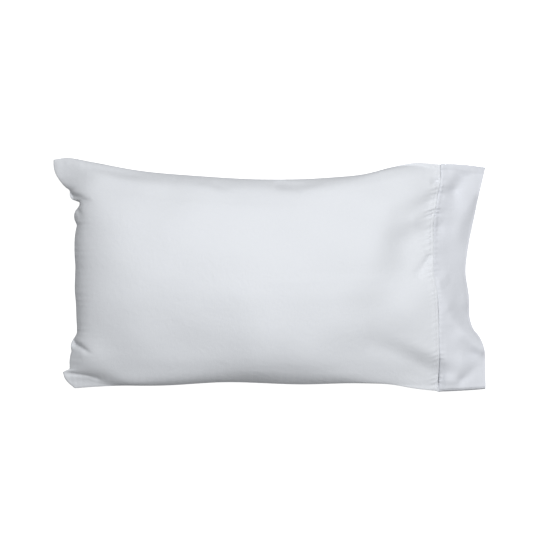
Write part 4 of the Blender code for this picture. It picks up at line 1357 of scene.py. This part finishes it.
# %% [markdown]
# ## Floor and light
#
# The photo's ground is pure white, as on a lit table. A white floor would throw too much light up on the
# case's dark lower edges, and would show a shadow that the photo doesn't have. So this floor is a plain
# grey, and it glows white to the camera's rays only.

# %% Floor
FLOOR_HALF = 6.0
FLOOR_DROP = 0.0005  # so that the cloth's flat back doesn't lie in the floor
FLOOR_GREYS = (0.44, 0.48)
FLOOR_GLOW = 0.97


def studio_floor():
    """A large plain floor that shows as white."""
    data = bpy.data.meshes.new("studio_floor")
    corners = [(x * FLOOR_HALF, y * FLOOR_HALF, 0) for x, y in ((-1, -1), (1, -1), (1, 1), (-1, 1))]
    data.from_pydata(corners, [], [(0, 1, 2, 3)])
    floor = placed("studio_floor", data)
    floor.location.z = -FLOOR_DROP
    material = bpy.data.materials.new("studio_floor")
    material.use_nodes = True
    tree = material.node_tree
    shader = tree.nodes["Principled BSDF"].inputs
    shader["Roughness"].default_value = 0.9
    shader["Specular IOR Level"].default_value = 0.1
    grain = noise(tree, tree.nodes.new("ShaderNodeTexCoord").outputs["Object"], 3.0)
    darker, lighter = ([grey] * 3 for grey in FLOOR_GREYS)
    tree.links.new(mixed(tree, grain, darker, lighter), shader["Base Color"])
    to_camera = tree.nodes.new("ShaderNodeLightPath").outputs["Is Camera Ray"]
    tree.links.new(mixed(tree, to_camera, [0] * 3, [FLOOR_GLOW] * 3), shader["Emission Color"])
    shader["Emission Strength"].default_value = 1.0
    data.materials.append(material)
    floor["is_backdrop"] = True


studio_floor()

# %% [markdown]
# The light in the photo is large and nearly frontal: both ends and the lower edge are darker than the
# middle, and no shadow has a hard edge. One big area light hangs almost over the case, a little towards
# its far side, and a weak even light from the world fills the rest.

# %% Lights
KEY_PLACE = (0.48, 0.91, 3.60)
KEY_TARGET = (0.0, 0.0, 0.10)
KEY_SIZE = 1.6
KEY_POWER = 116.5
FILL_STRENGTH = 0.196
FILL_COLOUR = (0.97, 0.985, 1.0, 1.0)

key = placed("key", bpy.data.lights.new("key", "AREA"))
key.data.size = KEY_SIZE
key.data.energy = KEY_POWER
key.location = KEY_PLACE
towards_x, towards_y, towards_z = (end - start for start, end in zip(KEY_PLACE, KEY_TARGET))
tilt = math.atan2(math.hypot(towards_x, towards_y), -towards_z)
key.rotation_euler = (tilt, 0, math.atan2(towards_y, towards_x) - math.pi / 2)

world = bpy.data.worlds.new("studio")
world.use_nodes = True
fill = world.node_tree.nodes["Background"].inputs
fill["Color"].default_value = FILL_COLOUR
fill["Strength"].default_value = FILL_STRENGTH
bpy.context.scene.world = world
bpy.context.scene.view_settings.view_transform = "Standard"

# %% [markdown]
# ## Compare the boxes and finish
# The dressed model has to stay the size of the plain one, apart from the little that cloth may stand
# proud. The sizes of both boxes are printed. Both boxes are written down, so they can be compared after
# each render.

# %% Sizes and finish
visual_box = [list(corner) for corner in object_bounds()]
for name, box in (("plain", cad_box), ("dressed", visual_box)):
    print(name, [f"{1000 * (high - low):.1f} mm" for low, high in zip(*box)])
